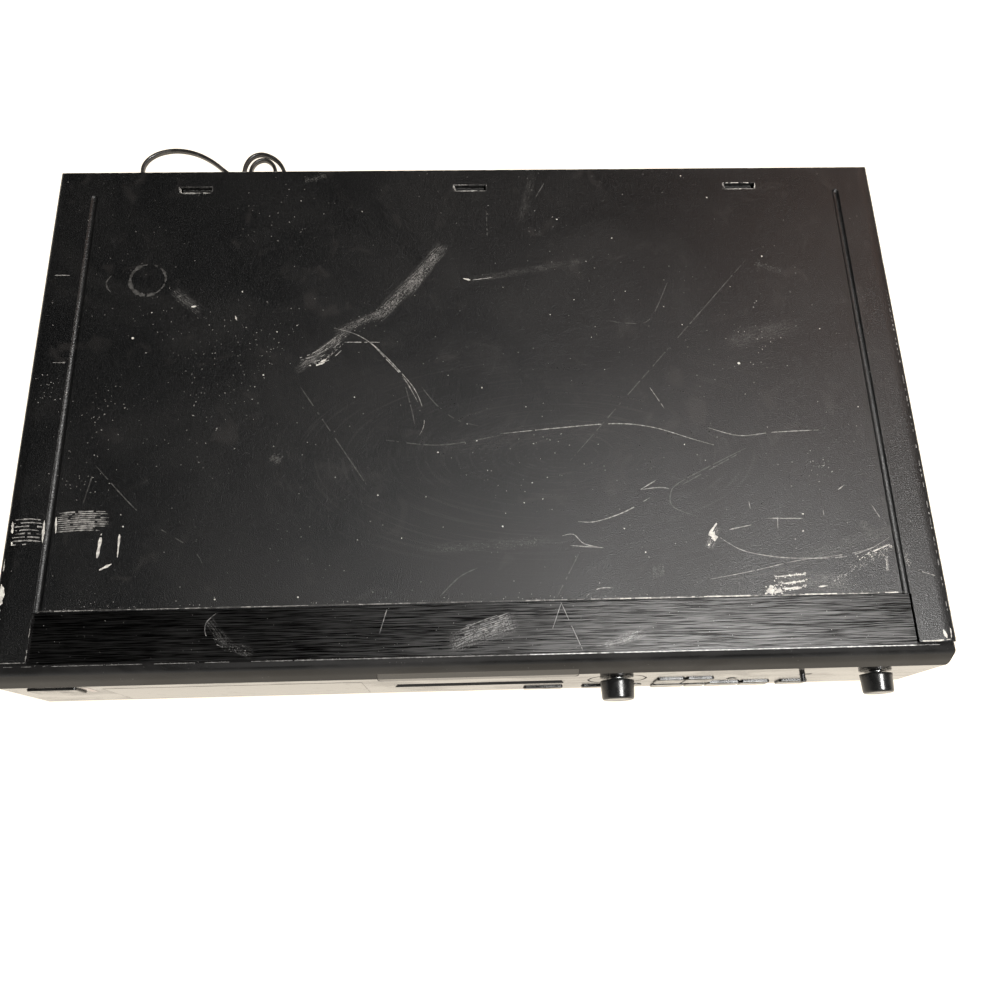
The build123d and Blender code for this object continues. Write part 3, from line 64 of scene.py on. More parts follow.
# Places and sizes of the deck's forms that carry paint or wear, in mm
COVER_TOP = 95.0
STRIP_TOP = 93.7
RIDGE_TOP = 94.4
FACET_LOW, FACET_HIGH = 86.2, 94.8
FACE_Y = -132.7
REAR_Y = 134.1
TONGUE_SETBACK = 8.9
RIDGE_SETBACK = 7.4
NOTCH_Y = -101.35
NOTCH_HALF = 197.8
GROOVE_X, GROOVE_HALF, GROOVE_DEPTH = 195.7, 1.8, 0.9
GROOVE_FRONT, GROOVE_REAR = -101, 118
# A flake in a groove clears its curved floor by this much
CLEARANCE = 0.15
LANCE_X, LANCE_Y = 144.0, 122.7
LANCE_WIDTH, LANCE_LENGTH = 17.0, 3.4
BEND_X, BEND_WIDTH = 209.2, 5.8
JACK_COLUMNS = (108.0, 134.0)
JACK_ROWS = (28.6, 44.6)
INSULATOR_RADIUS = 3.4
BLADES_X = 98.1
# Flakes float LIFT over their surface, in LAYERS steps so that overlapping ones share no plane
LIFT = 0.004
LAYER = 0.0005
LAYERS = 32
# The furthest that a flake reaches to either side
EDGE = 213.6
# Spacing of the points on a smoothed stroke
STEP = 1.2

collection = bpy.context.scene.collection


def add(name, data):
    """A new object in the scene."""
    made = bpy.data.objects.new(name, data)
    collection.objects.link(made)
    return made


def flat_piece(name, vertices, faces, shader, outward):
    """Flat polygons of one material that all face outward."""
    mesh = bpy.data.meshes.new(name)
    mesh.from_pydata(vertices, [], faces)
    mesh.update()
    for face in mesh.polygons:
        if face.normal.dot(outward) < 0:
            face.flip()
    mesh.materials.append(shader.material)
    return add(name, mesh)


# Camera, fitted to the edges of the cover and the front panel in the photograph

camera_data = bpy.data.cameras.new("camera")
camera_data.lens = 32.39
camera_data.sensor_width = 36.0
camera_data.clip_start = 0.01
camera = add("camera", camera_data)
camera.location = (-0.00226, -0.1884, 0.49366)
camera.rotation_euler = [math.radians(a) for a in (18.847, -1.359, -1.631)]
bpy.context.scene.camera = camera


# Material nodes


class Shader:
    """One material: a Principled shader and the nodes that feed it."""

    def __init__(self, name, color, roughness, metallic=0.0, **sockets):
        self.material = bpy.data.materials.new(name)
        self.material.use_nodes = True
        self.tree = self.material.node_tree
        self.tree.nodes.clear()
        output = self.tree.nodes.new("ShaderNodeOutputMaterial")
        self.bsdf = self.tree.nodes.new("ShaderNodeBsdfPrincipled")
        self.tree.links.new(self.bsdf.outputs[0], output.inputs["Surface"])
        self.bsdf.inputs["Base Color"].default_value = (*color, 1.0)
        self.bsdf.inputs["Roughness"].default_value = roughness
        self.bsdf.inputs["Metallic"].default_value = metallic
        for socket, value in sockets.items():
            self.bsdf.inputs[socket.replace("_", " ")].default_value = value
        self.place = self.tree.nodes.new("ShaderNodeTexCoord").outputs["Object"]

    def put(self, socket, value):
        if isinstance(value, bpy.types.NodeSocket):
            self.tree.links.new(value, socket)
        else:
            socket.default_value = value

    def math(self, operation, a, b=0.0):
        node = self.tree.nodes.new("ShaderNodeMath")
        node.operation = operation
        self.put(node.inputs[0], a)
        self.put(node.inputs[1], b)
        return node.outputs[0]

    def times(self, a, b):
        return self.math("MULTIPLY", a, b)

    def plus(self, a, b):
        return self.math("ADD", a, b)

    def minus(self, a, b):
        return self.math("SUBTRACT", a, b)

    def most(self, a, b):
        return self.math("MAXIMUM", a, b)

    def vector(self, operation, a, b=(0.0, 0.0, 0.0), output=0):
        node = self.tree.nodes.new("ShaderNodeVectorMath")
        node.operation = operation
        self.put(node.inputs[0], a)
        self.put(node.inputs[1], b)
        return node.outputs[output]

    def axis(self, vector, name):
        node = self.tree.nodes.new("ShaderNodeSeparateXYZ")
        self.put(node.inputs[0], vector)
        return node.outputs[name]

    def join(self, x, y, z):
        node = self.tree.nodes.new("ShaderNodeCombineXYZ")
        for socket, value in zip(node.inputs, (x, y, z)):
            self.put(socket, value)
        return node.outputs[0]

    def noise(self, size, detail=2.0, stretch=(1.0, 1.0, 1.0), vector=None, distortion=0.0, rough=0.5):
        """Noise with features of about size metres, drawn out by stretch."""
        scaled = self.vector("MULTIPLY", vector or self.place, tuple(1.0 / (size * s) for s in stretch))
        node = self.tree.nodes.new("ShaderNodeTexNoise")
        self.put(node.inputs["Vector"], scaled)
        node.inputs["Scale"].default_value = 1.0
        node.inputs["Detail"].default_value = detail
        node.inputs["Roughness"].default_value = rough
        node.inputs["Distortion"].default_value = distortion
        return node.outputs["Fac"]

    def cells(self, size, feature="F1", output="Distance"):
        scaled = self.vector("MULTIPLY", self.place, (1.0 / size,) * 3)
        node = self.tree.nodes.new("ShaderNodeTexVoronoi")
        node.feature = feature
        self.put(node.inputs["Vector"], scaled)
        node.inputs["Scale"].default_value = 1.0
        return node.outputs[output]

    def range(self, value, low, high, out_low=0.0, out_high=1.0):
        node = self.tree.nodes.new("ShaderNodeMapRange")
        node.interpolation_type = "SMOOTHSTEP"
        for name, given in (("Value", value), ("From Min", low), ("From Max", high),
                            ("To Min", out_low), ("To Max", out_high)):
            self.put(node.inputs[name], given)
        return node.outputs[0]

    def mix(self, factor, a, b):
        node = self.tree.nodes.new("ShaderNodeMix")
        node.data_type = "RGBA"
        self.put(node.inputs["Factor"], factor)
        for name, value in (("A", a), ("B", b)):
            socket = [s for s in node.inputs if s.name == name and s.type == "RGBA"][0]
            self.put(socket, value if isinstance(value, bpy.types.NodeSocket) else (*value, 1.0))
        return [s for s in node.outputs if s.type == "RGBA"][0]

    def tint(self, value, low, high, a, b):
        """Colour a below low, colour b above high."""
        return self.mix(self.range(value, low, high), a, b)

    def bump(self, height, distance, strength=1.0, normal=None):
        node = self.tree.nodes.new("ShaderNodeBump")
        node.inputs["Strength"].default_value = strength
        node.inputs["Distance"].default_value = distance
        self.put(node.inputs["Height"], height)
        if normal is not None:
            self.put(node.inputs["Normal"], normal)
        return node.outputs[0]

    def band(self, value, middle, half, soft):
        """One inside middle ± half, falling to zero over soft."""
        away = self.math("ABSOLUTE", self.minus(value, middle))
        return self.range(away, half + soft, half)

    def swipe(self, start, end, half, streak=0.0006):
        """Dust wiped from start to end in mm: streaks along the line, soft sides and ends."""
        ax, ay = start[0] * MM, start[1] * MM
        dx, dy = end[0] * MM - ax, end[1] * MM - ay
        length = math.hypot(dx, dy)
        dx, dy = dx / length, dy / length
        x = self.minus(self.axis(self.place, "X"), ax)
        y = self.minus(self.axis(self.place, "Y"), ay)
        along = self.plus(self.times(x, dx), self.times(y, dy))
        across = self.minus(self.times(y, dx), self.times(x, dy))
        sides = self.band(across, 0.0, half * MM * 0.3, half * MM)
        ends = self.band(along, length / 2, length * 0.38, length * 0.2)
        drawn_out = self.join(self.times(along, 0.09 / streak), self.times(across, 1.0 / streak), 0.0)
        lines = self.noise(1.0, detail=3.0, vector=drawn_out)
        grains = self.noise(0.0007, detail=3.0, rough=0.7)
        body = self.times(self.range(lines, 0.36, 0.68), self.range(grains, 0.38, 0.6))
        return self.times(self.times(sides, ends), body)

    def color(self, value):
        self.put(self.bsdf.inputs["Base Color"], value)

    def rough(self, value):
        self.put(self.bsdf.inputs["Roughness"], value)

    def metal(self, value):
        self.put(self.bsdf.inputs["Metallic"], value)

    def normal(self, value):
        self.put(self.bsdf.inputs["Normal"], value)


def painted_steel(name, dark, light):
    """Textured satin paint: a fine grain and clouds of handling marks."""
    s = Shader(name, dark, 0.44)
    grain = s.noise(0.00042, detail=1.5)
    coarse = s.noise(0.0011, detail=1.0)
    clouds = s.noise(0.05, detail=4.0, distortion=0.6)
    marked = s.times(s.range(clouds, 0.4, 0.75), s.range(grain, 0.3, 0.7, 0.5, 1.0))
    s.color(s.mix(marked, dark, light))
    s.rough(s.plus(s.range(clouds, 0.3, 0.7, 0.4, 0.49), s.range(grain, 0.35, 0.65, -0.05, 0.05)))
    s.normal(s.bump(grain, 0.00006, 0.5, s.bump(coarse, 0.00008, 0.25)))
    return s


# Each swipe's start and end in mm, half its width, its strength and its colour
COVER_SWIPES = [
    ((-15, 86.5), (-33, 60), 3.6, 0.8, (0.26, 0.25, 0.235)),
    ((-25, 72), (-48, 45), 3.6, 0.75, (0.26, 0.25, 0.235)),
    ((-40, 51), (-68, 37), 2.2, 0.6, (0.22, 0.21, 0.2)),
    ((-62, 38), (-86, 17), 2.4, 0.8, (0.26, 0.25, 0.235)),
    ((128, 28), (162, 38), 5, 0.5, (0.1, 0.095, 0.09)),
    ((-150, 62), (-136, 50), 3, 0.6, (0.13, 0.125, 0.12)),
    ((34, 132), (26, 100), 2.4, 0.5, (0.08, 0.077, 0.072)),
    ((0, 66.5), (58, 77), 2.2, 0.55, (0.09, 0.086, 0.08)),
    ((70, -15), (-20, -26), 6, 0.28, (0.06, 0.058, 0.055)),
    ((-24, -76), (34, -73), 3, 0.4, (0.07, 0.068, 0.064)),
    ((112, -68), (107, -78), 2, 0.8, (0.3, 0.29, 0.27)),
    ((150, -84), (196, -70), 3.6, 0.5, (0.1, 0.097, 0.09)),
    ((136, -92), (170, -97), 4.5, 0.6, (0.16, 0.155, 0.145)),
]


def cover_paint():
    """The cover's paint, with wiping arcs, dull patches, dust, swipes, rubbed edges and painted light on the
    lances.
    """
    s = Shader("cover_paint", (0.009, 0.0085, 0.008), 0.44)
    grain = s.noise(0.00045, detail=1.5)
    coarse = s.noise(0.0009, detail=1.0)
    clouds = s.noise(0.06, detail=4.0, distortion=0.8)
    blotches = s.noise(0.018, detail=3.0, distortion=1.2)
    # Wiping arcs run in flat ovals round a point to the right and front of the cover's middle
    from_centre = s.vector("MULTIPLY", s.vector("SUBTRACT", s.place, (0.04, -0.03, 0.0)), (0.42, 1.0, 0.0))
    radius = s.vector("LENGTH", from_centre, output="Value")
    angle = s.math("ARCTAN2", s.axis(from_centre, "Y"), s.axis(from_centre, "X"))
    around = s.join(s.times(radius, 1100.0), s.times(angle, 1.6), 0.0)
    streaks = s.noise(1.0, detail=3.0, vector=around)
    where = s.times(s.band(radius, 0.03, 0.016, 0.022), s.range(clouds, 0.3, 0.55))
    arcs = s.times(s.range(streaks, 0.5, 0.72), where)
    dust = s.range(s.cells(0.0042), 0.10, 0.055)
    dust = s.times(dust, s.range(s.noise(0.03), 0.5, 0.66))
    base = s.tint(clouds, 0.35, 0.75, (0.0006, 0.0008, 0.001), (0.0032, 0.003, 0.0028))
    base = s.mix(s.times(s.range(blotches, 0.58, 0.75), 0.5), base, (0.02, 0.018, 0.017))
    base = s.mix(s.times(arcs, 0.4), base, (0.03, 0.029, 0.028))
    base = s.tint(grain, 0.55, 0.72, base, (0.0095, 0.0092, 0.009))
    for start, end, half, strength, tint in COVER_SWIPES:
        base = s.mix(s.times(s.swipe(start, end, half), strength), base, tint)
    base = s.mix(s.times(dust, 0.65), base, (0.16, 0.155, 0.145))
    # Rubbed edges: the bends at the sides and the rear edge
    x = s.math("ABSOLUTE", s.axis(s.place, "X"))
    y = s.axis(s.place, "Y")
    z = s.axis(s.place, "Z")
    side_edge = s.times(s.band(x, 0.2147, 0.0003, 0.0004), s.band(z, 0.0946, 0.0006, 0.0006))
    rear_edge = s.times(s.band(y, REAR_Y * MM, 0.0002, 0.0003), s.range(z, 0.0944, 0.0948))
    # Each lance's lips are rubbed paint with a painted highlight, and its sunk hook is painted a little
    # paler, as painted light on the pressed metal
    lance_x = s.math("MINIMUM", x, s.math("ABSOLUTE", s.minus(x, LANCE_X * MM)))
    beside = s.minus(lance_x, LANCE_WIDTH / 2 * MM)
    before = s.minus(s.math("ABSOLUTE", s.minus(y, LANCE_Y * MM)), LANCE_LENGTH / 2 * MM)
    outside = s.most(beside, before)
    lance_lip_wear_and_highlight = s.times(s.band(outside, 0.00015, 0.00025, 0.0002), s.range(s.noise(0.0016, detail=3.0), 0.4, 0.55))
    base = s.mix(s.times(lance_lip_wear_and_highlight, 0.3), base, (0.2, 0.195, 0.185))
    sunk_hook_painted_light = s.times(s.range(outside, 0.0, -0.0002), s.range(z, 0.0949, 0.0947))
    base = s.mix(s.times(sunk_hook_painted_light, 0.9), base, (0.012, 0.0115, 0.011))
    patchy = s.range(s.noise(0.004, detail=4.0), 0.5, 0.62)
    rubbed = s.times(s.most(side_edge, rear_edge), patchy)
    base = s.mix(s.times(rubbed, 0.7), base, (0.25, 0.24, 0.22))
    s.color(base)
    dull = s.plus(s.range(clouds, 0.3, 0.7, 0.375, 0.445), s.range(grain, 0.35, 0.65, -0.1, 0.1))
    s.rough(s.plus(dull, s.times(arcs, -0.05)))
    # The side bends start to roll off a little inside the edge
    past = s.most(s.math("DIVIDE", s.minus(x, BEND_X * MM), BEND_WIDTH * MM), 0.0)
    bend = s.bump(s.times(s.times(past, past), -1.0), 0.001, 1.0)
    s.normal(s.bump(grain, 0.00016, 0.9, s.bump(coarse, 0.00012, 0.35, bend)))
    return s


# Each swipe's start and end in mm, half its width and its strength
STRIP_SWIPES = [
    ((-13, -119.5), (16, -110), 4.5, 0.85),
    ((-121, -106), (-112, -117), 2.6, 0.7),
    ((-114, -116), (-100, -122), 2.8, 0.5),
    ((56, -122), (74, -116), 2.2, 0.5),
]


def brushed_black():
    """Black strip brushed along its length, with handling haze and wiped dust."""
    s = Shader("brushed_black", (0.035, 0.034, 0.033), 0.3, metallic=1.0)
    hair = s.noise(0.00026, stretch=(60.0, 1.0, 1.0), rough=0.6)
    broad = s.noise(0.0012, stretch=(40.0, 1.0, 1.0))
    haze = s.noise(0.03, detail=3.0, distortion=0.8)
    brushed = s.plus(s.times(hair, 0.9), s.times(broad, 0.1))
    base = s.tint(brushed, 0.4, 0.62, (0.008, 0.0079, 0.0078), (0.052, 0.0515, 0.051))
    wiped = 0.0
    for start, end, half, strength in STRIP_SWIPES:
        mask = s.times(s.swipe(start, end, half, 0.0007), strength)
        wiped = s.most(mask, wiped)
    s.color(s.mix(wiped, base, (0.2, 0.195, 0.19)))
    s.metal(s.minus(1.0, wiped))
    s.rough(s.plus(s.range(hair, 0.34, 0.66, 0.24, 0.36), s.range(haze, 0.45, 0.7, 0.0, 0.05)))
    s.normal(s.bump(hair, 0.00006, 0.6, s.bump(broad, 0.00004, 0.3)))
    return s


def gloss_panel():
    """Moulded gloss plastic with a faint orange peel, dust, fine scuffs and a rounded upper facet."""
    base = (0.007, 0.0068, 0.0068)
    s = Shader("front_gloss", base, 0.15, IOR=1.38)
    peel = s.noise(0.0016)
    fine = s.noise(0.0004)
    smear = s.noise(0.02, detail=4.0, distortion=1.0, stretch=(2.0, 1.0, 1.0))
    scuff = s.noise(0.0005, detail=3.0, stretch=(14.0, 1.0, 2.0))
    dust = s.times(s.range(s.cells(0.0026), 0.11, 0.06), s.range(s.noise(0.012), 0.52, 0.65))
    tint = s.tint(smear, 0.4, 0.7, base, tuple(min(1.0, c * 1.9 + 0.004) for c in base))
    s.color(s.mix(s.times(dust, 0.5), tint, (0.12, 0.115, 0.11)))
    s.rough(s.plus(s.range(smear, 0.35, 0.7, 0.1, 0.23), s.range(scuff, 0.55, 0.75, 0.0, 0.06)))
    crown = s.bump(s.range(s.axis(s.place, "Z"), FACET_LOW * MM, FACET_HIGH * MM, 1.0, 0.0), 0.0012, 1.0)
    s.normal(s.bump(peel, 0.00005, 0.3, s.bump(fine, 0.00003, 0.4, crown)))
    return s


def satin_plastic(name, base, roughness, wear=0.25):
    """Moulded satin plastic with spark texture and polished patches."""
    s = Shader(name, base, roughness)
    spark = s.noise(0.0004)
    touch = s.noise(0.006, detail=3.0)
    s.color(s.tint(touch, 0.4, 0.75, base, tuple(min(1.0, c * (1.0 + wear) + 0.002) for c in base)))
    s.rough(s.plus(s.range(touch, 0.35, 0.7, roughness - 0.06, roughness + 0.07),
                   s.range(spark, 0.3, 0.7, -0.03, 0.03)))
    s.normal(s.bump(spark, 0.00005, 0.35))
    return s


def plated_metal(name, base, roughness, streak=(1.0, 1.0, 1.0), spangle=0.012, stain=0.35):
    """Plated or bare metal with cloudy spangles, rolling streaks and stains."""
    s = Shader(name, base, roughness, metallic=1.0)
    cloud = s.cells(spangle, output="Color")
    tone = s.axis(cloud, "X")
    roll = s.noise(0.0006, detail=3.0, stretch=streak)
    age = s.noise(0.02, detail=4.0, distortion=0.5)
    shade = tuple(c * (1.0 - stain) for c in base)
    aged = s.plus(s.times(tone, 0.3), s.range(age, 0.45, 0.8, 0.0, 0.6))
    s.color(s.mix(aged, base, shade))
    s.rough(s.plus(s.range(roll, 0.3, 0.7, roughness - 0.06, roughness + 0.08), s.times(tone, 0.05)))
    s.normal(s.bump(roll, 0.00003, 0.35))
    return s


def circuit_board():
    """Green laminate: solder mask over tracks, with pads and a woven ground."""
    s = Shader("board_green", (0.02, 0.12, 0.05), 0.35)
    tracks = s.cells(0.006, feature="DISTANCE_TO_EDGE")
    weave = s.noise(0.0005)
    pads = s.range(s.cells(0.0051), 0.17, 0.13)
    tint = s.tint(tracks, 0.1, 0.06, (0.012, 0.09, 0.035), (0.035, 0.2, 0.08))
    s.color(s.mix(pads, tint, (0.6, 0.58, 0.52)))
    s.metal(s.times(pads, 0.9))
    s.rough(s.range(weave, 0.3, 0.7, 0.3, 0.45))
    s.normal(s.bump(s.range(tracks, 0.1, 0.06), 0.00004, 0.5))
    return s


def window_plastic():
    """Smoked window: nearly black, polished, with light fingerprints."""
    s = Shader("window_smoke", (0.004, 0.004, 0.0045), 0.07, IOR=1.3)
    prints = s.noise(0.009, detail=5.0, distortion=1.5)
    lines = s.noise(0.0004, stretch=(1.0, 6.0, 3.0))
    s.color(s.tint(prints, 0.5, 0.8, (0.0035, 0.0035, 0.004), (0.012, 0.012, 0.013)))
    s.rough(s.plus(s.range(prints, 0.5, 0.75, 0.05, 0.16), s.range(lines, 0.6, 0.8, 0.0, 0.06)))
    return s


def red_lens():
    s = Shader("lens_red", (0.09, 0.006, 0.005), 0.12, Transmission_Weight=0.2)
    depth = s.noise(0.0015)
    s.color(s.tint(depth, 0.35, 0.65, (0.06, 0.004, 0.003), (0.14, 0.012, 0.01)))
    s.rough(s.range(depth, 0.3, 0.7, 0.08, 0.18))
    return s


def tube_glass():
    """Display tube: dark glass with the grid of its segments behind."""
    s = Shader("tube_glass", (0.03, 0.045, 0.045), 0.06)
    grid = s.range(s.cells(0.0035, feature="DISTANCE_TO_EDGE"), 0.12, 0.05)
    film = s.noise(0.01, detail=3.0)
    s.color(s.mix(grid, s.mix(film, (0.02, 0.03, 0.03), (0.04, 0.06, 0.058)), (0.16, 0.2, 0.19)))
    s.rough(s.range(film, 0.3, 0.7, 0.04, 0.12))
    return s


def rubber(name="black_rubber", base=(0.012, 0.012, 0.012), roughness=0.6):
    s = Shader(name, base, roughness)
    skin = s.noise(0.0006, detail=3.0)
    bloom = s.noise(0.01, detail=4.0)
    s.color(s.tint(bloom, 0.45, 0.75, base, tuple(c + 0.02 for c in base)))
    s.rough(s.range(bloom, 0.3, 0.7, roughness - 0.08, roughness + 0.1))
    s.normal(s.bump(skin, 0.00008, 0.4))
    return s


def laminated_iron():
    """Transformer core: varnished sheets, one every half millimetre."""
    s = Shader("dark_iron", (0.07, 0.062, 0.055), 0.45, metallic=0.7)
    sheets = s.noise(0.0005, detail=1.0, stretch=(60.0, 1.0, 60.0))
    rust = s.noise(0.008, detail=4.0)
    varnished = s.mix(sheets, (0.05, 0.045, 0.04), (0.1, 0.09, 0.08))
    s.color(s.tint(rust, 0.55, 0.75, varnished, (0.12, 0.05, 0.025)))
    s.rough(s.range(sheets, 0.3, 0.7, 0.35, 0.6))
    s.normal(s.bump(sheets, 0.0001, 0.6))
    return s


def copper_wire():
    """Winding: turns of enamelled wire with paler patches."""
    s = Shader("copper_wire", (0.45, 0.16, 0.05), 0.3, metallic=0.9)
    turns = s.noise(0.00045, detail=0.0, stretch=(60.0, 60.0, 1.0))
    patches = s.noise(0.02)
    lit = s.mix(patches, (0.5, 0.19, 0.06), (0.6, 0.27, 0.1))
    s.color(s.tint(turns, 0.35, 0.65, (0.22, 0.07, 0.02), lit))
    s.rough(s.range(turns, 0.3, 0.7, 0.25, 0.42))
    s.normal(s.bump(turns, 0.00015, 0.8))
    return s


def can_metal():
    """Capacitors: plain dark sleeves, bare aluminium on top."""
    s = Shader("capacitor_sleeve", (0.02, 0.03, 0.09), 0.3)
    z = s.axis(s.place, "Z")
    top = s.range(s.noise(0.002), 0.4, 0.6)
    normal = s.tree.nodes.new("ShaderNodeNewGeometry").outputs["Normal"]
    up = s.range(s.axis(normal, "Z"), 0.7, 0.9)
    s.color(s.mix(up, s.mix(top, (0.015, 0.022, 0.07), (0.025, 0.035, 0.1)), (0.62, 0.62, 0.6)))
    s.metal(up)
    s.rough(s.range(z, 0.02, 0.05, 0.28, 0.36))
    return s


def cord_jacket(name="cord_jacket"):
    """Supple vinyl jacket: satin and dusty, with a fine skin."""
    s = Shader(name, (0.017, 0.016, 0.015), 0.34)
    skin = s.noise(0.0007, detail=3.0)
    dusty = s.noise(0.006, detail=4.0)
    s.color(s.tint(dusty, 0.45, 0.75, (0.02, 0.019, 0.018), (0.06, 0.056, 0.052)))
    s.rough(s.range(dusty, 0.3, 0.7, 0.27, 0.42))
    s.normal(s.bump(skin, 0.00008, 0.35))
    return s


def plug_plastic():
    """Moulded plug: satin black body, bright blades at its far end."""
    s = Shader("plug_black", (0.014, 0.014, 0.014), 0.4)
    skin = s.noise(0.0005)
    blade = s.range(s.axis(s.place, "X"), BLADES_X * MM, 0.0983)
    worn = s.noise(0.003, detail=3.0, stretch=(4.0, 1.0, 1.0))
    s.color(s.mix(blade, s.mix(skin, (0.012, 0.012, 0.012), (0.02, 0.019, 0.018)),
                  s.mix(worn, (0.55, 0.44, 0.24), (0.72, 0.62, 0.4))))
    s.metal(blade)
    s.rough(s.range(worn, 0.3, 0.7, 0.28, 0.42))
    s.normal(s.bump(skin, 0.00006, 0.3))
    return s


def jack_plastic():
    """Jack block: white insulators in the upper row, red in the lower, in a black body."""
    s = Shader("jack_plastic", (0.02, 0.02, 0.02), 0.4)
    x = s.axis(s.place, "X")
    y = s.axis(s.place, "Y")
    z = s.axis(s.place, "Z")
    inserts = None
    for jx in JACK_COLUMNS:
        for jz in JACK_ROWS:
            dx = s.minus(x, jx * MM)
            dz = s.minus(z, jz * MM)
            distance = s.math("SQRT", s.plus(s.times(dx, dx), s.times(dz, dz)))
            disc = s.range(distance, INSULATOR_RADIUS * MM, 0.0033)
            inserts = disc if inserts is None else s.most(inserts, disc)
    inserts = s.times(inserts, s.range(y, 0.1327, 0.133))
    grain = s.noise(0.0005)
    middle = sum(JACK_ROWS) / 2 * MM
    tint = s.tint(z, middle - 0.0002, middle + 0.0002, (0.45, 0.02, 0.018), (0.7, 0.69, 0.66))
    s.color(s.mix(inserts, s.mix(grain, (0.012, 0.012, 0.012), (0.022, 0.022, 0.022)), tint))
    s.rough(s.range(grain, 0.3, 0.7, 0.35, 0.5))
    return s


black_moulding = satin_plastic("black_moulding", (0.012, 0.012, 0.012), roughness=0.5)
white_moulding = satin_plastic("white_moulding", (0.62, 0.6, 0.54), roughness=0.45)
key_plastic = satin_plastic("key_black", (0.012, 0.0118, 0.0115), roughness=0.26)
knob_black = satin_plastic("knob_black", (0.010, 0.010, 0.010), roughness=0.27, wear=0.5)
board = circuit_board()
zinc = plated_metal("zinc_steel", (0.55, 0.55, 0.52), 0.34)
aluminium = plated_metal("plain_aluminium", (0.72, 0.72, 0.71), 0.3, streak=(20.0, 1.0, 20.0), stain=0.15)
chrome = plated_metal("bright_chrome", (0.8, 0.8, 0.8), 0.1, spangle=0.03, stain=0.12)
brass = plated_metal("yellow_brass", (0.7, 0.5, 0.2), 0.25)
screw_steel = plated_metal("screw_steel", (0.06, 0.06, 0.06), 0.34)
rear_paint = painted_steel("black_steel", (0.010, 0.010, 0.010), (0.018, 0.017, 0.016))
soft_rubber = rubber()
foot_plastic = satin_plastic("foot_plastic", (0.014, 0.014, 0.014), roughness=0.55)

MATERIALS = {
    "top_cover": cover_paint(), "front_panel": gloss_panel(), "brushed_strip": brushed_black(),
    "slot_flap": satin_plastic("flap_black", (0.012, 0.012, 0.012), roughness=0.4),
    "display_window": window_plastic(), "standby_lens": red_lens(),
    "jog_knob": knob_black, "level_knob": knob_black, "input_lever": knob_black,
    "panel_switches": black_moulding, "panel_boards": board, "display_tube": tube_glass(),
    "rotary_controls": aluminium, "jog_carrier": white_moulding, "bottom_chassis": zinc, "feet": foot_plastic,
    "case_screws": screw_steel, "rear_panel": rear_paint,
    "jack_block": jack_plastic(), "jack_barrels": chrome,
    "optical_sockets": satin_plastic("socket_black", (0.018, 0.018, 0.018), roughness=0.42),
    "main_board": board, "power_board": board, "board_screws": zinc, "capacitors": can_metal(),
    "heatsink": aluminium, "integrated_circuits": black_moulding, "ribbon_cable": white_moulding,
    "transformer_core": laminated_iron(), "transformer_winding": copper_wire(), "mechanism_bracket": zinc,
    "dampers": soft_rubber, "mechanism_base": zinc, "cartridge_holder": zinc, "cam_slider": white_moulding,
    "loading_gear": white_moulding, "motor_pinion": brass, "drive_motors": aluminium, "turntable": aluminium,
    "pickup_sled": aluminium, "magnetic_head_arm": zinc, "guide_rods": chrome, "lead_screw": chrome,
    "strain_relief": soft_rubber, "mains_cord": cord_jacket("cord_core"),
    "mains_cord_hank": cord_jacket("cord_coil"),
    "cord_tie": rubber("tie_black", (0.01, 0.01, 0.01), 0.5), "mains_plug": plug_plastic(),
}

for name, node in nodes.items():
    finish = MATERIALS.get(name, key_plastic)
    for material_slot in node.material_slots:
        material_slot.material = finish.material


# Softened edges on the pieces that the light picks out


def soften(name, width):
    node = nodes[name]
    weld = node.modifiers.new("weld", "WELD")
    weld.merge_threshold = 0.000002
    bevel = node.modifiers.new("bevel", "BEVEL")
    bevel.width = width * MM
    bevel.segments = 2
    bevel.limit_method = "ANGLE"
    bevel.angle_limit = math.radians(35)
    bevel.use_clamp_overlap = True
    bevel.harden_normals = True


for name, width in (("top_cover", 0.25), ("brushed_strip", 0.15), ("jog_knob", 0.3), ("level_knob", 0.3),
                    ("input_lever", 0.2)):
    soften(name, width)


# Mains lead: a flat twin cord with a groove along each side

CORD_WIDTH = 3.7
LOBE = 1.2

FREE_RUN = [
    (-165, 155, 36), (-165, 163, 36), (-165, 168, 36), (-166.5, 176.5, 32),
    (-171, 184, 24), (-179, 189, 13), (-189.5, 192.5, 5.55), (-202.5, 197.5, 1.85),
    (-212, 204.5, 1.85), (-212.8, 215.5, 1.85), (-205.5, 223.8, 1.85), (-193, 227, 1.85),
    (-179.5, 224.5, 1.85), (-167.5, 217.5, 1.85), (-158.5, 209, 1.85), (-151, 202.8, 1.85),
    (-143, 198.3, 1.85), (-135, 196.9, 1.85), (-128.2, 201, 1.85), (-125.8, 208, 1.85),
    (-128, 215, 1.85), (-133.5, 219.1, 1.85), (-139.7, 216.7, 1.85), (-142.4, 210.3, 2.25),
    (-141.7, 203.3, 4.2), (-139, 196.5, 6.2), (-134, 191, 5.75), (-126.7, 189.5, 4.9),
    (-120.7, 194, 3.85), (-118.8, 201.5, 3.65), (-120.8, 210, 4.3), (-125.6, 216.1, 5.45),
    (-134, 220.1, 5.8), (-140.8, 218.3, 5.8), (-144.8, 212.1, 5.8), (-145.8, 203.5, 5.8),
    (-144, 194.5, 5.8), (-139, 186.8, 4.7), (-132, 180, 3.05), (-124, 173.5, 2.05),
]
TAIL = [
    (17.3, 167.3, 5.5), (20.3, 170.6, 4.9), (25.2, 172.2, 3.6), (31, 172.4, 2.4), (37.5, 171.6, 2.2),
    (44, 171.1, 3.4), (50.5, 171.5, 5.3), (58, 172, 7.05), (66, 172, 7.05), (72, 172, 7.05),
]
# One corner of a turn, as shares of its radius
CORNER = [(1.0, 0.0), (0.9, 0.52), (0.52, 0.9), (0.0, 1.0)]
HANK_LOW = (-106.0, 141.5)
HANK_HIGH = (20.0, 192.5)
HANK_CORNER = 22.0
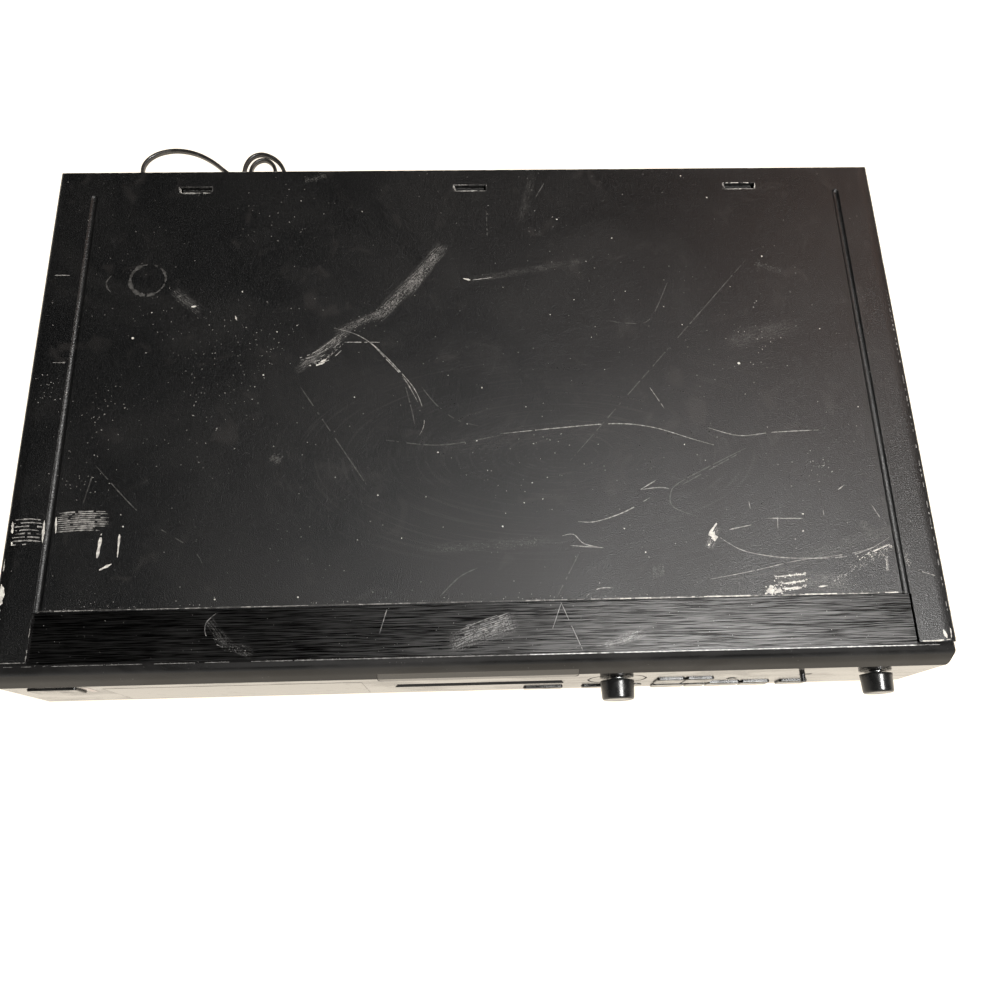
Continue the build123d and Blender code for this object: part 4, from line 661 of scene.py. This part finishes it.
# Each turn's gap from the hank's outer edge, and its height
TURNS = [(1.95, 1.95), (4.75, 1.95), (7.55, 1.95), (6.2, 5.68)]
LAST_GAP = 3.4


def hank_points():
    """The turns run down the left side, along the near side, up the right side and back."""
    points = []
    centre = [(a + b) / 2 for a, b in zip(HANK_LOW, HANK_HIGH)]
    half = [(b - a) / 2 for a, b in zip(HANK_LOW, HANK_HIGH)]
    quarters = [(-1, -1, False), (1, -1, True), (1, 1, False), (-1, 1, True)]
    gaps = TURNS + [(LAST_GAP, TURNS[-1][1])]
    for turn, (gap, level) in enumerate(gaps):
        following = gaps[min(turn + 1, len(gaps) - 1)]
        for quarter, (sx, sy, reverse) in enumerate(quarters):
            if turn == len(TURNS) and quarter == 2:
                return points
            mixed = max(0.0, quarter - 2.0)
            g = gap + (following[0] - gap) * mixed
            h = level + (following[1] - level) * mixed
            r = HANK_CORNER - g
            corner = CORNER[::-1] if reverse else CORNER
            for u, v in corner:
                points.append((centre[0] + sx * (half[0] - g - r + r * u),
                               centre[1] + sy * (half[1] - g - r + r * v), h))
            if quarter in (0, 2):
                step_g = following[0] - gap if quarter == 2 else 0.0
                step_h = following[1] - level if quarter == 2 else 0.0
                for share in (0.3, 0.7):
                    drift = chance.uniform(-0.25, 0.25)
                    side = sy * (half[1] - g - step_g * share + drift)
                    reach = half[0] - HANK_CORNER
                    along = centre[0] - sx * reach * (2 * share - 1)
                    points.append((along, centre[1] + side, h + step_h * share))
    return points


cord_route = FREE_RUN + [(-116, 172.3, 1.95), (-108.8, 169.5, 1.95)] + hank_points() + TAIL


def twin_profile():
    """Outline of the cord: two lobes and the web between them."""
    outline = []
    reach = CORD_WIDTH / 2 - LOBE
    for side in (1, -1):
        # A lobe is round but for the part that faces the web
        for step in range(9):
            a = math.radians(-112 + 28 * step)
            outline.append((side * (reach + LOBE * math.cos(a)), side * LOBE * math.sin(a)))
    curve = bpy.data.curves.new("cord_profile", "CURVE")
    curve.dimensions = "2D"
    spline = curve.splines.new("POLY")
    spline.points.add(len(outline) - 1)
    for point, (x, y) in zip(spline.points, outline):
        point.co = (x * MM, y * MM, 0.0, 1.0)
    spline.use_cyclic_u = True
    shape = add("cord_profile", curve)
    shape.hide_render = True
    shape.hide_viewport = True
    return shape


lead_curve = bpy.data.curves.new("mains_lead", "CURVE")
lead_curve.dimensions = "3D"
lead_curve.twist_mode = "Z_UP"
lead_curve.resolution_u = 6
lead_curve.bevel_mode = "OBJECT"
lead_curve.bevel_object = twin_profile()
lead_curve.use_fill_caps = True
spline = lead_curve.splines.new("NURBS")
spline.points.add(len(cord_route) - 1)
for point, (x, y, z) in zip(spline.points, cord_route):
    point.co = (x * MM, y * MM, z * MM, 1.0)
    point.tilt = math.radians(90)
spline.order_u = 3
spline.use_endpoint_u = True
mains_lead = add("mains_lead", lead_curve)
lead_curve.materials.append(cord_jacket().material)
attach(mains_lead, "deck")
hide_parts("mains_cord", "mains_cord_hank")


# Wear and painted highlights: scratches, chips and specks, and highlights painted on lit edges, laid on the
# paint as thin flakes


class Flakes:
    """A mesh of small flat polygons that lie on one surface."""

    def __init__(self, name, base, light, level):
        self.name = name
        self.vertices = []
        self.faces = []
        self.level = level
        s = Shader(name, base, 0.55)
        tone = s.noise(0.0016, detail=3.0)
        s.color(s.tint(tone, 0.38, 0.66, base, light))
        s.rough(s.range(tone, 0.3, 0.7, 0.45, 0.65))
        s.normal(s.bump(tone, 0.00005, 0.4))
        self.shader = s

    def polygon(self, points):
        """One flake, left out where it would hang over the cover's notch."""
        start = len(self.vertices)
        layer = len(self.faces) % LAYERS * LAYER
        points = [(max(-EDGE, min(EDGE, x)), y) for x, y in points]
        if self.level is cover_level and any(y < NOTCH_Y and abs(x) < NOTCH_HALF for x, y in points):
            return
        self.vertices += [(x * MM, y * MM, (self.level(x, y) + layer) * MM) for x, y in points]
        self.faces.append(tuple(range(start, start + len(points))))

    def speck(self, x, y, size, along=0.0, stretch=1.0):
        """An irregular fleck, drawn out along a direction."""
        corners = chance.choice((4, 5, 6))
        spin = chance.uniform(0, math.tau)
        points = []
        for k in range(corners):
            a = spin + math.tau * k / corners
            r = size / 2 * chance.uniform(0.65, 1.25)
            u, v = r * math.cos(a) * stretch, r * math.sin(a)
            points.append((x + u * math.cos(along) - v * math.sin(along),
                           y + u * math.sin(along) + v * math.cos(along)))
        self.polygon(points)

    def stroke(self, points, width, gap=0.0, ragged=0.35, taper=True):
        """A scratch along the points, with ragged width and breaks."""
        line = smooth(points)
        count = len(line)
        offsets = []
        for k, (x, y) in enumerate(line):
            ahead = Vector(line[min(k + 1, count - 1)]) - Vector(line[max(k - 1, 0)])
            side = Vector((-ahead.y, ahead.x)).normalized() if ahead.length > 0 else Vector((0, 1))
            share = k / max(count - 1, 1)
            ends = min(1.0, 0.25 + 4 * min(share, 1 - share)) if taper else 1.0
            half = width / 2 * ends * chance.uniform(1 - ragged, 1 + ragged)
            offsets.append(((x + side.x * half, y + side.y * half), (x - side.x * half, y - side.y * half)))
        broken = False
        for k in range(count - 1):
            broken = chance.random() < (0.55 if broken else gap)
            if not broken:
                self.polygon([offsets[k][0], offsets[k + 1][0], offsets[k + 1][1], offsets[k][1]])

    def smear(self, points, width, count, size, lean=0.0):
        """Dust rubbed along the points: flecks that thin out to the sides."""
        line = smooth(points)
        for _ in range(count):
            k = chance.randrange(len(line) - 1)
            (x0, y0), (x1, y1) = line[k], line[k + 1]
            t = chance.random()
            along = math.atan2(y1 - y0, x1 - x0)
            off = chance.gauss(lean, 1.0) * width / 4
            x = x0 + (x1 - x0) * t - math.sin(along) * off
            y = y0 + (y1 - y0) * t + math.cos(along) * off
            self.speck(x, y, size * chance.uniform(0.5, 1.3), along + chance.gauss(0, 0.15),
                       chance.uniform(0.9, 1.6))

    def cluster(self, x, y, spread, count, size):
        for _ in range(count):
            self.speck(chance.gauss(x, spread), chance.gauss(y, spread), size * chance.uniform(0.5, 1.4),
                       chance.uniform(0, math.pi), chance.uniform(1.0, 1.8))

    def finish(self):
        piece = flat_piece(self.name, self.vertices, self.faces, self.shader, (0, 0, 1))
        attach(piece, "deck")
        return piece


def smooth(points):
    """Points about STEP apart on a curve through the given ones."""
    line = []
    for k in range(len(points) - 1):
        a = Vector(points[max(k - 1, 0)])
        b = Vector(points[k])
        c = Vector(points[k + 1])
        d = Vector(points[min(k + 2, len(points) - 1)])
        count = max(2, round((c - b).length / STEP))
        for n in range(count):
            t = n / count
            curved = (2 * a - 5 * b + 4 * c - d) * t * t + (3 * b - a - 3 * c + d) * t ** 3
            p = 0.5 * (2 * b + (c - a) * t + curved)
            line.append((p.x, p.y))
    line.append(tuple(points[-1]))
    return line


def cover_level(x, y):
    """Height of the cover's top, which drops in its two pressed grooves."""
    away = abs(abs(x) - GROOVE_X)
    if away < GROOVE_HALF and GROOVE_FRONT < y < GROOVE_REAR:
        drop = GROOVE_DEPTH * math.cos(away / GROOVE_HALF * math.pi / 2)
        return min(COVER_TOP - drop + CLEARANCE, COVER_TOP) + LIFT
    return COVER_TOP + LIFT


def strip_level(x, y):
    return STRIP_TOP + LIFT


def ridge_level(x, y):
    return RIDGE_TOP + LIFT


# These flakes hold wear, and the first three also the painted highlights on the lances' lips and the notch
# edge; the ridge flakes are a painted highlight on the panel's top edge
bright = Flakes("paint_chips_and_highlights", (0.42, 0.4, 0.37), (0.68, 0.66, 0.6), cover_level)
pale = Flakes("paint_scratches_and_highlights", (0.13, 0.125, 0.118), (0.32, 0.31, 0.29), cover_level)
faint = Flakes("paint_rubs_and_highlights", (0.03, 0.029, 0.027), (0.07, 0.068, 0.064), cover_level)
ridge_highlight = Flakes("ridge_highlight", (0.4, 0.4, 0.39), (0.8, 0.79, 0.77), ridge_level)
ridge_dim_highlight = Flakes("ridge_dim_highlight", (0.1, 0.098, 0.094), (0.24, 0.235, 0.225), ridge_level)
strip_marks = Flakes("strip_scratches", (0.11, 0.11, 0.11), (0.24, 0.235, 0.225), strip_level)

HAIR_SCRATCHES = [
    [(-69.2, 39.7), (-57.5, 35.6), (-47.9, 28.3), (-36.8, 15.8), (-29, 5.3), (-25.1, -4.9), (-24.4, -13.4),
     (-26.6, -19.1)],
    [(-51.2, 31.9), (-42.3, 21.2), (-33.7, 10.6), (-27.4, -1.5)],
    [(-63.7, 31.6), (-45.6, 31.3)],
    [(12, -19), (39.8, -16.5), (67.7, -14.7), (86.2, -17), (104.2, -23.2), (114.7, -26.7)],
    [(112.6, -17.5), (127.6, -22), (144.9, -20.6), (166.9, -19.8)],
    [(81.7, -52.8), (69.1, -59.7), (55.3, -64.1), (47.1, -63.9)],
    [(77.5, -48.8), (86.6, -47.8), (91.1, -48.6)],
    [(77.5, -48.8), (85.4, -44.1)],
    [(39.4, -70.7), (44.6, -70.1), (49.5, -74.8), (58.2, -76.9)],
    [(42.8, -75.4), (58.2, -76.9)],
    [(48.7, -99.5), (54.8, -96), (61.3, -95.8)],
    [(136.3, -64.2), (152.9, -64.6)],
    [(117.7, -69.3), (128.4, -67.2)],
    [(128.3, -55.4), (128.6, -59.3)],
    [(171.7, -50.7), (175.1, -48.3)],
    [(86.4, 4.2), (92.5, -7)],
    [(112.8, -73.1), (122.5, -79.4), (137, -82.8), (151.7, -83.9), (169.7, -83.5), (182.2, -80),
     (192.1, -74.8)],
    [(0.1, 66.3), (10.7, 67.6)],
    [(-210.7, 71.9), (-202.8, 71.7)],
    [(-205.1, 22.6), (-195.9, 22.4)],
    [(202.9, -90.8), (210.6, -93.5)],
]
FAINT_SCRATCHES = [
    [(142.3, 76.4), (45, -33.6)],
    [(-178.2, -31.7), (-153.5, -57.4), (-130.4, -73.1), (-123.9, -82.3)],
    [(-84.7, 8), (-51.3, -43.8)],
    [(-178.2, -31.7), (-181.8, -50.6)],
    [(-25.9, 7), (-18.2, -3.4), (-9, -11.1), (1.7, -14.7)],
    [(130, -28.7), (115.3, -35.8), (95.9, -45.9), (91.6, -51.4), (92.5, -57.8), (103.4, -62.7)],
    [(127.4, -30.8), (97.3, -46.8)],
    [(-42.6, -21.3), (-16.8, -24.3), (12, -19.8)],
    [(68.5, 41.8), (78, 40.2), (89.5, 42.4), (100.3, 63.6)],
    [(112, -93.6), (134.5, -90.3), (151.5, -85.4)],
    [(-35.2, 14.1), (-30.5, -4.9), (-28.9, -13.3)],
    [(35.7, -99.2), (47.1, -78.5)],
    [(-17.3, -98), (-8.5, -89.3), (0.2, -85)],
    [(8.4, 108.3), (8.6, 92.1)],
    [(34.5, 116), (40.9, 127.7)],
]
CHIPS = [
    ([(112, -66.1), (108.2, -71.4), (111.4, -71.5), (106.9, -76.8)], 1.5),
    ([(133.4, -99.3), (138.6, -98.9)], 1.3),
    ([(137.2, -92.3), (149.2, -91.4)], 0.5),
    ([(139, -95.7), (149, -94.7)], 0.6),
    ([(139.4, -98.1), (148, -97.7)], 0.9),
    ([(155.6, -97.5), (160, -97)], 0.6),
    ([(183, -81.5), (192, -78)], 0.4),
    ([(189.1, -85.5), (188.8, -89)], 0.4),
    ([(-118.4, 47.3), (-117.6, 44.7)], 1.4),
    ([(-168.4, 35.8), (-167.2, 35.1)], 1.1),
    ([(-4.4, 67.3), (-0.7, 66.3)], 1.3),
    ([(-171.7, -65.1), (-172.5, -77.5)], 1.1),
    ([(-163.5, -65.6), (-163.3, -76.6)], 0.9),
    ([(-170.9, -82.4), (-165.6, -79.6)], 0.9),
    ([(-212.6, -58.5), (-211.4, -70)], 1),
    ([(-198.3, -58.2), (-197.9, -68.8)], 0.9),
    ([(-193.2, -56.6), (-192.4, -64.6)], 0.8),
    ([(-140.6, 52.7), (-135.6, 53.3)], 0.8),
    ([(-214, -76), (-213.6, -82)], 0.7),
    ([(-213.4, -88), (-212.4, -97.5)], 2.2),
    ([(-212.6, -99), (-212.2, -106)], 1),
    ([(209.6, -118.5), (210.6, -122.4)], 1),
    ([(131.3, 17), (132.6, 16.6)], 1.2),
]
RUBS = [
    ([(-147.5, 59.5), (-140.6, 53)], 2.6), ([(130.3, 29.1), (139.2, 36.2), (158.7, 35.9)], 3.2),
    ([(147.1, 74.4), (159.8, 69.5)], 2.2), ([(80.2, -88), (85.4, -88.2)], 2.6),
    ([(179.9, -66.7), (184.6, -73)], 2.2), ([(-87, 128), (-76, 131)], 2),
    ([(-97, -29), (-92, -31)], 2), ([(-20, -76), (28, -73)], 2.2),
]

for points in HAIR_SCRATCHES:
    pale.stroke(points, 0.42, gap=0.05)
for points in FAINT_SCRATCHES:
    faint.stroke(points, 0.5, gap=0.12)
for points, width in CHIPS:
    bright.stroke(points, width, gap=0.05, ragged=0.55)
for points, width in RUBS:
    faint.smear(points, width * 2, 150, 0.45)

# The long dusty smear and the scraped end below it
pale.smear([(-18, 82.3), (-30.7, 63.6), (-45.1, 48.6), (-60.2, 41)], 6, 300, 0.36, lean=0.2)
pale.smear([(-64.6, 35.7), (-70.4, 25.1), (-78.3, 20.3)], 3, 70, 0.4)
for k in range(5):
    pale.stroke([(-86.9 + 2 * k, 22.8 - 0.8 * k), (-78 + 2 * k, 26.4 - k), (-67.2 + k, 35.0 - 1.4 * k)],
                0.4, gap=0.3)
bright.stroke([(-80.6, 19), (-76, 19.4), (-72.1, 22.8)], 1.3, gap=0.1, ragged=0.6)

# Chipped and scraped paint near the right front corner
bright.cluster(133.5, -98.9, 1.2, 60, 0.9)
bright.cluster(137, -97.8, 2.2, 40, 0.45)
for x0, x1, y0 in ((136, 150.5, -91.6), (138.5, 151, -94.6), (139.5, 150, -97.3)):
    bright.smear([(x0, y0 - 1), ((x0 + x1) / 2, y0 - 0.6), (x1, y0 + 0.6)], 1.5, 46, 0.5)
pale.smear([(163, -95.5), (176, -88), (190, -79.5)], 6.5, 150, 0.42)
bright.smear([(176, -85), (186, -81), (193, -78.5)], 2, 50, 0.42)
pale.smear([(189.1, -83.5), (188.7, -90.5)], 2.2, 46, 0.5)
pale.smear([(199, -82.5), (198.6, -88.5)], 2, 30, 0.45)
pale.stroke([(106, -92.8), (126, -89.4), (148, -84.9), (172, -82.2), (186, -79)], 0.3, gap=0.03)
for x, y, dx, dy in ((141, -63.5, -0.6, -6), (163, -60.5, 0.2, -5), (186.5, -58.5, 3, -6.5)):
    pale.stroke([(x, y), (x + dx * 0.5, y + dy * 0.5), (x + dx, y + dy)], 0.35, gap=0.1)

# Lips of the three lances: rubbed paint with a painted highlight that grows brighter from the left lance to
# the right one. Rear, left end, right end and the brighter front
for middle, tone in ((-LANCE_X, faint), (0, pale), (LANCE_X, bright)):
    tone.stroke([(middle - 8.6, 124.6), (middle, 124.6), (middle + 8.6, 124.6)], 0.45, gap=0.1)
    pale.stroke([(middle - 8.7, 124.5), (middle - 8.1, 122.5), (middle - 7.6, 120.9)], 0.7, gap=0)
    tone.stroke([(middle + 8.8, 124.4), (middle + 8.7, 122.5), (middle + 8.3, 121)], 0.45, gap=0.1)
    pale.stroke([(middle - 7.6, 120.75), (middle, 120.75), (middle + 8.2, 120.75)], 0.7, gap=0.05)
bright.stroke([(-152.7, 124.4), (-151.9, 122.3), (-151.2, 120.9)], 0.8, gap=0)
bright.stroke([(136.4, 120.7), (144, 120.7), (152.2, 120.7)], 0.6, gap=0.1)

# Rubbed edges of the tongues
tongue = FACE_Y + TONGUE_SETBACK + 0.4
bright.stroke([(198.4, tongue), (206, tongue), (212.4, tongue + 0.5)], 0.6, gap=0.08, ragged=0.5)
bright.stroke([(212.6, tongue + 1), (212.9, tongue + 4), (213, tongue + 8)], 0.6, gap=0.15, ragged=0.6)
pale.stroke([(213.2, tongue + 8), (213.2, -80), (213.2, -30), (213.2, 60)], 0.35, gap=0.8, ragged=0.6)
pale.stroke([(-212, tongue), (-205, tongue), (-198.4, tongue)], 0.45, gap=0.1, ragged=0.5)
pale.stroke([(-198.1, tongue), (-198, tongue + 10), (-197.9, -101.5)], 0.35, gap=0.15, ragged=0.5)

# Hatch scuffs at the left
for (x0, y0), (x1, y1), height, lines in (((-212, -57.8), (-198, -58), 12, 8),
                                          ((-192.8, -55), (-168.9, -54.6), 9, 10)):
    for k in range(lines):
        drop = height * k / (lines - 1)
        start = chance.uniform(0, 1.5)
        end = chance.uniform(0, 2.5 + (9 if k == lines - 1 else 0))
        middle = ((x0 + x1) / 2, (y0 + y1) / 2 - drop + 0.5)
        pale.stroke([(x0 + start, y0 - drop), middle, (x1 - end, y1 - drop)], 0.55, gap=0.12, ragged=0.6)

# Ring mark and the arc beside it
RING = (-163.6, 68.6)
RING_RADIUS = 8.9
for start, end, width in ((95, 215, 0.9), (80, 320, 1.8), (320, 345, 0.9), (350, 440, 1.3)):
    angles = [math.radians(a) for a in range(start, end + 1, 12)]
    arc = [(RING[0] + RING_RADIUS * math.cos(a), RING[1] + RING_RADIUS * math.sin(a)) for a in angles]
    faint.stroke(arc, width, gap=0.06, ragged=0.5)
faint.stroke([(-182, 71.5), (-184.2, 67.5), (-183, 63.5), (-181.2, 61.8)], 0.7, gap=0.1)

# Specks, thicker towards the left
for _ in range(330):
    x = -212 + 424 * chance.random() ** 1.25
    (pale if chance.random() < 0.6 else faint).speck(x, chance.uniform(-100, 132), chance.uniform(0.25, 0.6))
for x, y, spread, count in ((-128, 20, 14, 60), (-178, -5, 9, 45), (-186, -40, 6, 26), (-150, 48, 9, 30),
                            (-105, 30, 10, 40), (-132, -12, 12, 30), (-205, 10, 5, 30), (165, -38, 4, 26),
                            (140, 32, 10, 40), (-100, 112, 14, 26), (60, 60, 30, 36), (30, -30, 12, 26)):
    pale.cluster(x, y, spread, count, 0.42)
for _ in range(46):
    bright.speck(chance.uniform(-212, 200), chance.uniform(-98, 130), chance.uniform(0.5, 0.95))

# Specks along the rear edge of the notch, and rubbed paint with a painted highlight on the edge itself,
# brighter towards the right
for _ in range(150):
    pale.speck(chance.uniform(-196, 190), -101.0 + chance.expovariate(0.6), chance.uniform(0.25, 0.5))
faint.stroke([(-196.5, -100.75), (0, -100.75), (196.5, -100.75)], 0.5, gap=0.05, ragged=0.6, taper=False)
pale.stroke([(-196, -100.8), (-70, -100.8), (60, -100.8)], 0.3, gap=0.12, ragged=0.5, taper=False)
pale.stroke([(20, -100.8), (60, -100.8), (110, -100.8)], 0.45, gap=0.05, ragged=0.5, taper=False)
bright.stroke([(64, -100.85), (120, -100.85), (192, -100.85)], 0.55, gap=0.03, ragged=0.35, taper=False)

# Marks on the strip
for points in ([(-41, -102.4), (-44.4, -113.9)], [(37.5, -101.9), (33, -113.6)],
               [(37.2, -101.3), (46, -123.6)],
               [(-117, -102.8), (-121.6, -107.7), (-120.4, -114.2), (-113.1, -118.6)],
               [(51.8, -121.9), (64.8, -120.1), (69.4, -117.3)], [(-10, -114), (2, -109), (12, -106)]):
    strip_marks.stroke(points, 0.3, gap=0.12)
for k in range(7):
    strip_marks.stroke([(-12 + k, -121.5 + 1.7 * k), (-1 + k, -116 + 1.2 * k),
                        (11 + 0.4 * k, -112.5 + 1.1 * k)], 0.4, gap=0.25, ragged=0.7)
strip_marks.smear([(-119, -112), (-112, -117.5), (-102, -121.5)], 4, 40, 0.32)
strip_marks.smear([(-10, -118), (4, -113), (14, -110.5)], 4.5, 50, 0.32)
for _ in range(130):
    strip_marks.speck(chance.uniform(-195, 195), chance.uniform(-123.5, -101.5), chance.uniform(0.2, 0.4))

# The panel's top edge before the strip: a painted highlight, dim along most of it and bright towards the
# right where the light strikes it, with specks along it
lip = FACE_Y + RIDGE_SETBACK + 0.22
ridge_dim_highlight.stroke([(-208, lip), (-150, lip), (-90, lip)], 0.22, gap=0.12, taper=False)
ridge_dim_highlight.stroke([(-90, lip), (-30, lip), (60, lip)], 0.38, gap=0.03, taper=False)
ridge_highlight.stroke([(20, lip), (110, lip), (196.5, lip)], 0.42, gap=0.01, ragged=0.2, taper=False)
ridge_dim_highlight.stroke([(196.5, lip), (203, lip), (209, lip)], 0.3, gap=0.1, taper=False)
for _ in range(60):
    ridge_dim_highlight.speck(chance.uniform(-200, 205), lip + 0.35, chance.uniform(0.2, 0.4))

for flakes in (bright, pale, faint, strip_marks, ridge_highlight, ridge_dim_highlight):
    flakes.finish()


# Printed ticks round the level knob

ink = Shader("panel_ink", (0.3, 0.29, 0.27), 0.5)
ink_tone = ink.noise(0.0008)
ink.color(ink.tint(ink_tone, 0.35, 0.6, (0.22, 0.21, 0.2), (0.42, 0.4, 0.37)))
ink.rough(ink.range(ink_tone, 0.3, 0.7, 0.4, 0.6))


def panel_ticks(strokes):
    """Thin prints on the front face, each from one (x, z) to another."""
    vertices = []
    faces = []
    for (x0, z0), (x1, z1), width in strokes:
        run = Vector((x1 - x0, z1 - z0))
        side = Vector((-run.y, run.x)).normalized() * width / 2
        start = len(vertices)
        for px, pz in ((x0 + side.x, z0 + side.y), (x0 - side.x, z0 - side.y),
                       (x1 - side.x, z1 - side.y), (x1 + side.x, z1 + side.y)):
            vertices.append((px * MM, (FACE_Y - 0.01) * MM, pz * MM))
        faces.append(tuple(range(start, start + 4)))
    piece = flat_piece("panel_ticks", vertices, faces, ink, (0, -1, 0))
    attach(piece, "deck")


KNOB_X = 189.5
KNOB_Z = 63.5
TICK_RADII = (11.2, 12.4)
ticks = [((180.4, 60.1), (178.6, 58.6), 0.35), ((199.7, 66.1), (201.4, 67.0), 0.35)]
for k in range(9):
    a = math.radians(-150 + 300 * k / 8)
    inner, outer = [(KNOB_X + r * math.sin(a), KNOB_Z + r * math.cos(a)) for r in TICK_RADII]
    ticks.append((inner, outer, 0.3))
panel_ticks(ticks)


# Floor, light and background

floor_shader = Shader("floor_paper", (0.2, 0.195, 0.185), 0.9)
fibre = floor_shader.noise(0.004, detail=3.0)
floor_shader.color(floor_shader.mix(fibre, (0.17, 0.16, 0.13), (0.19, 0.18, 0.15)))
floor_shader.bsdf.inputs["Emission Color"].default_value = (1.0, 0.9, 0.77, 1.0)
floor_shader.bsdf.inputs["Emission Strength"].default_value = 1.3
FLOOR = 6.0
corners = [(-FLOOR, -FLOOR, 0), (FLOOR, -FLOOR, 0), (FLOOR, FLOOR, 0), (-FLOOR, FLOOR, 0)]
floor = flat_piece("floor", corners, [(0, 1, 2, 3)], floor_shader, (0, 0, 1))


def area_light(name, location, target, size, power, color):
    data = bpy.data.lights.new(name, "AREA")
    data.shape = "RECTANGLE"
    data.size, data.size_y = size
    data.energy = power
    data.color = color
    light = add(name, data)
    light.location = location
    light.rotation_euler = (Vector(target) - Vector(location)).to_track_quat("-Z", "Y").to_euler()


area_light("key", (0.52, -0.18, 1.6), (0.05, -0.08, 0.1), (0.45, 0.45), 36.0, (1.0, 0.99, 0.97))
area_light("warm", (1.15, 1.05, 1.3), (0.15, 0.05, 0.1), (0.5, 0.5), 4.0, (1.0, 0.6, 0.45))
area_light("front", (0.2, -1.7, 0.9), (0.0, -0.1, 0.05), (1.8, 0.7), 4.0, (1.0, 0.98, 0.95))

# The backdrop is pale at the horizon and dark overhead
world = bpy.data.worlds.new("studio")
world.use_nodes = True
sky = world.node_tree
up = sky.nodes.new("ShaderNodeSeparateXYZ")
sky.links.new(sky.nodes.new("ShaderNodeTexCoord").outputs["Generated"], up.inputs[0])
fade = sky.nodes.new("ShaderNodeMapRange")
fade.interpolation_type = "SMOOTHSTEP"
for name, value in (("From Min", 0.02), ("From Max", 0.26), ("To Min", 1.05), ("To Max", 0.02)):
    fade.inputs[name].default_value = value
sky.links.new(up.outputs["Z"], fade.inputs["Value"])
sky.links.new(fade.outputs[0], sky.nodes["Background"].inputs["Strength"])
sky.nodes["Background"].inputs["Color"].default_value = (1.0, 0.985, 0.95, 1.0)
bpy.context.scene.world = world
bpy.context.scene.view_settings.view_transform = "Standard"
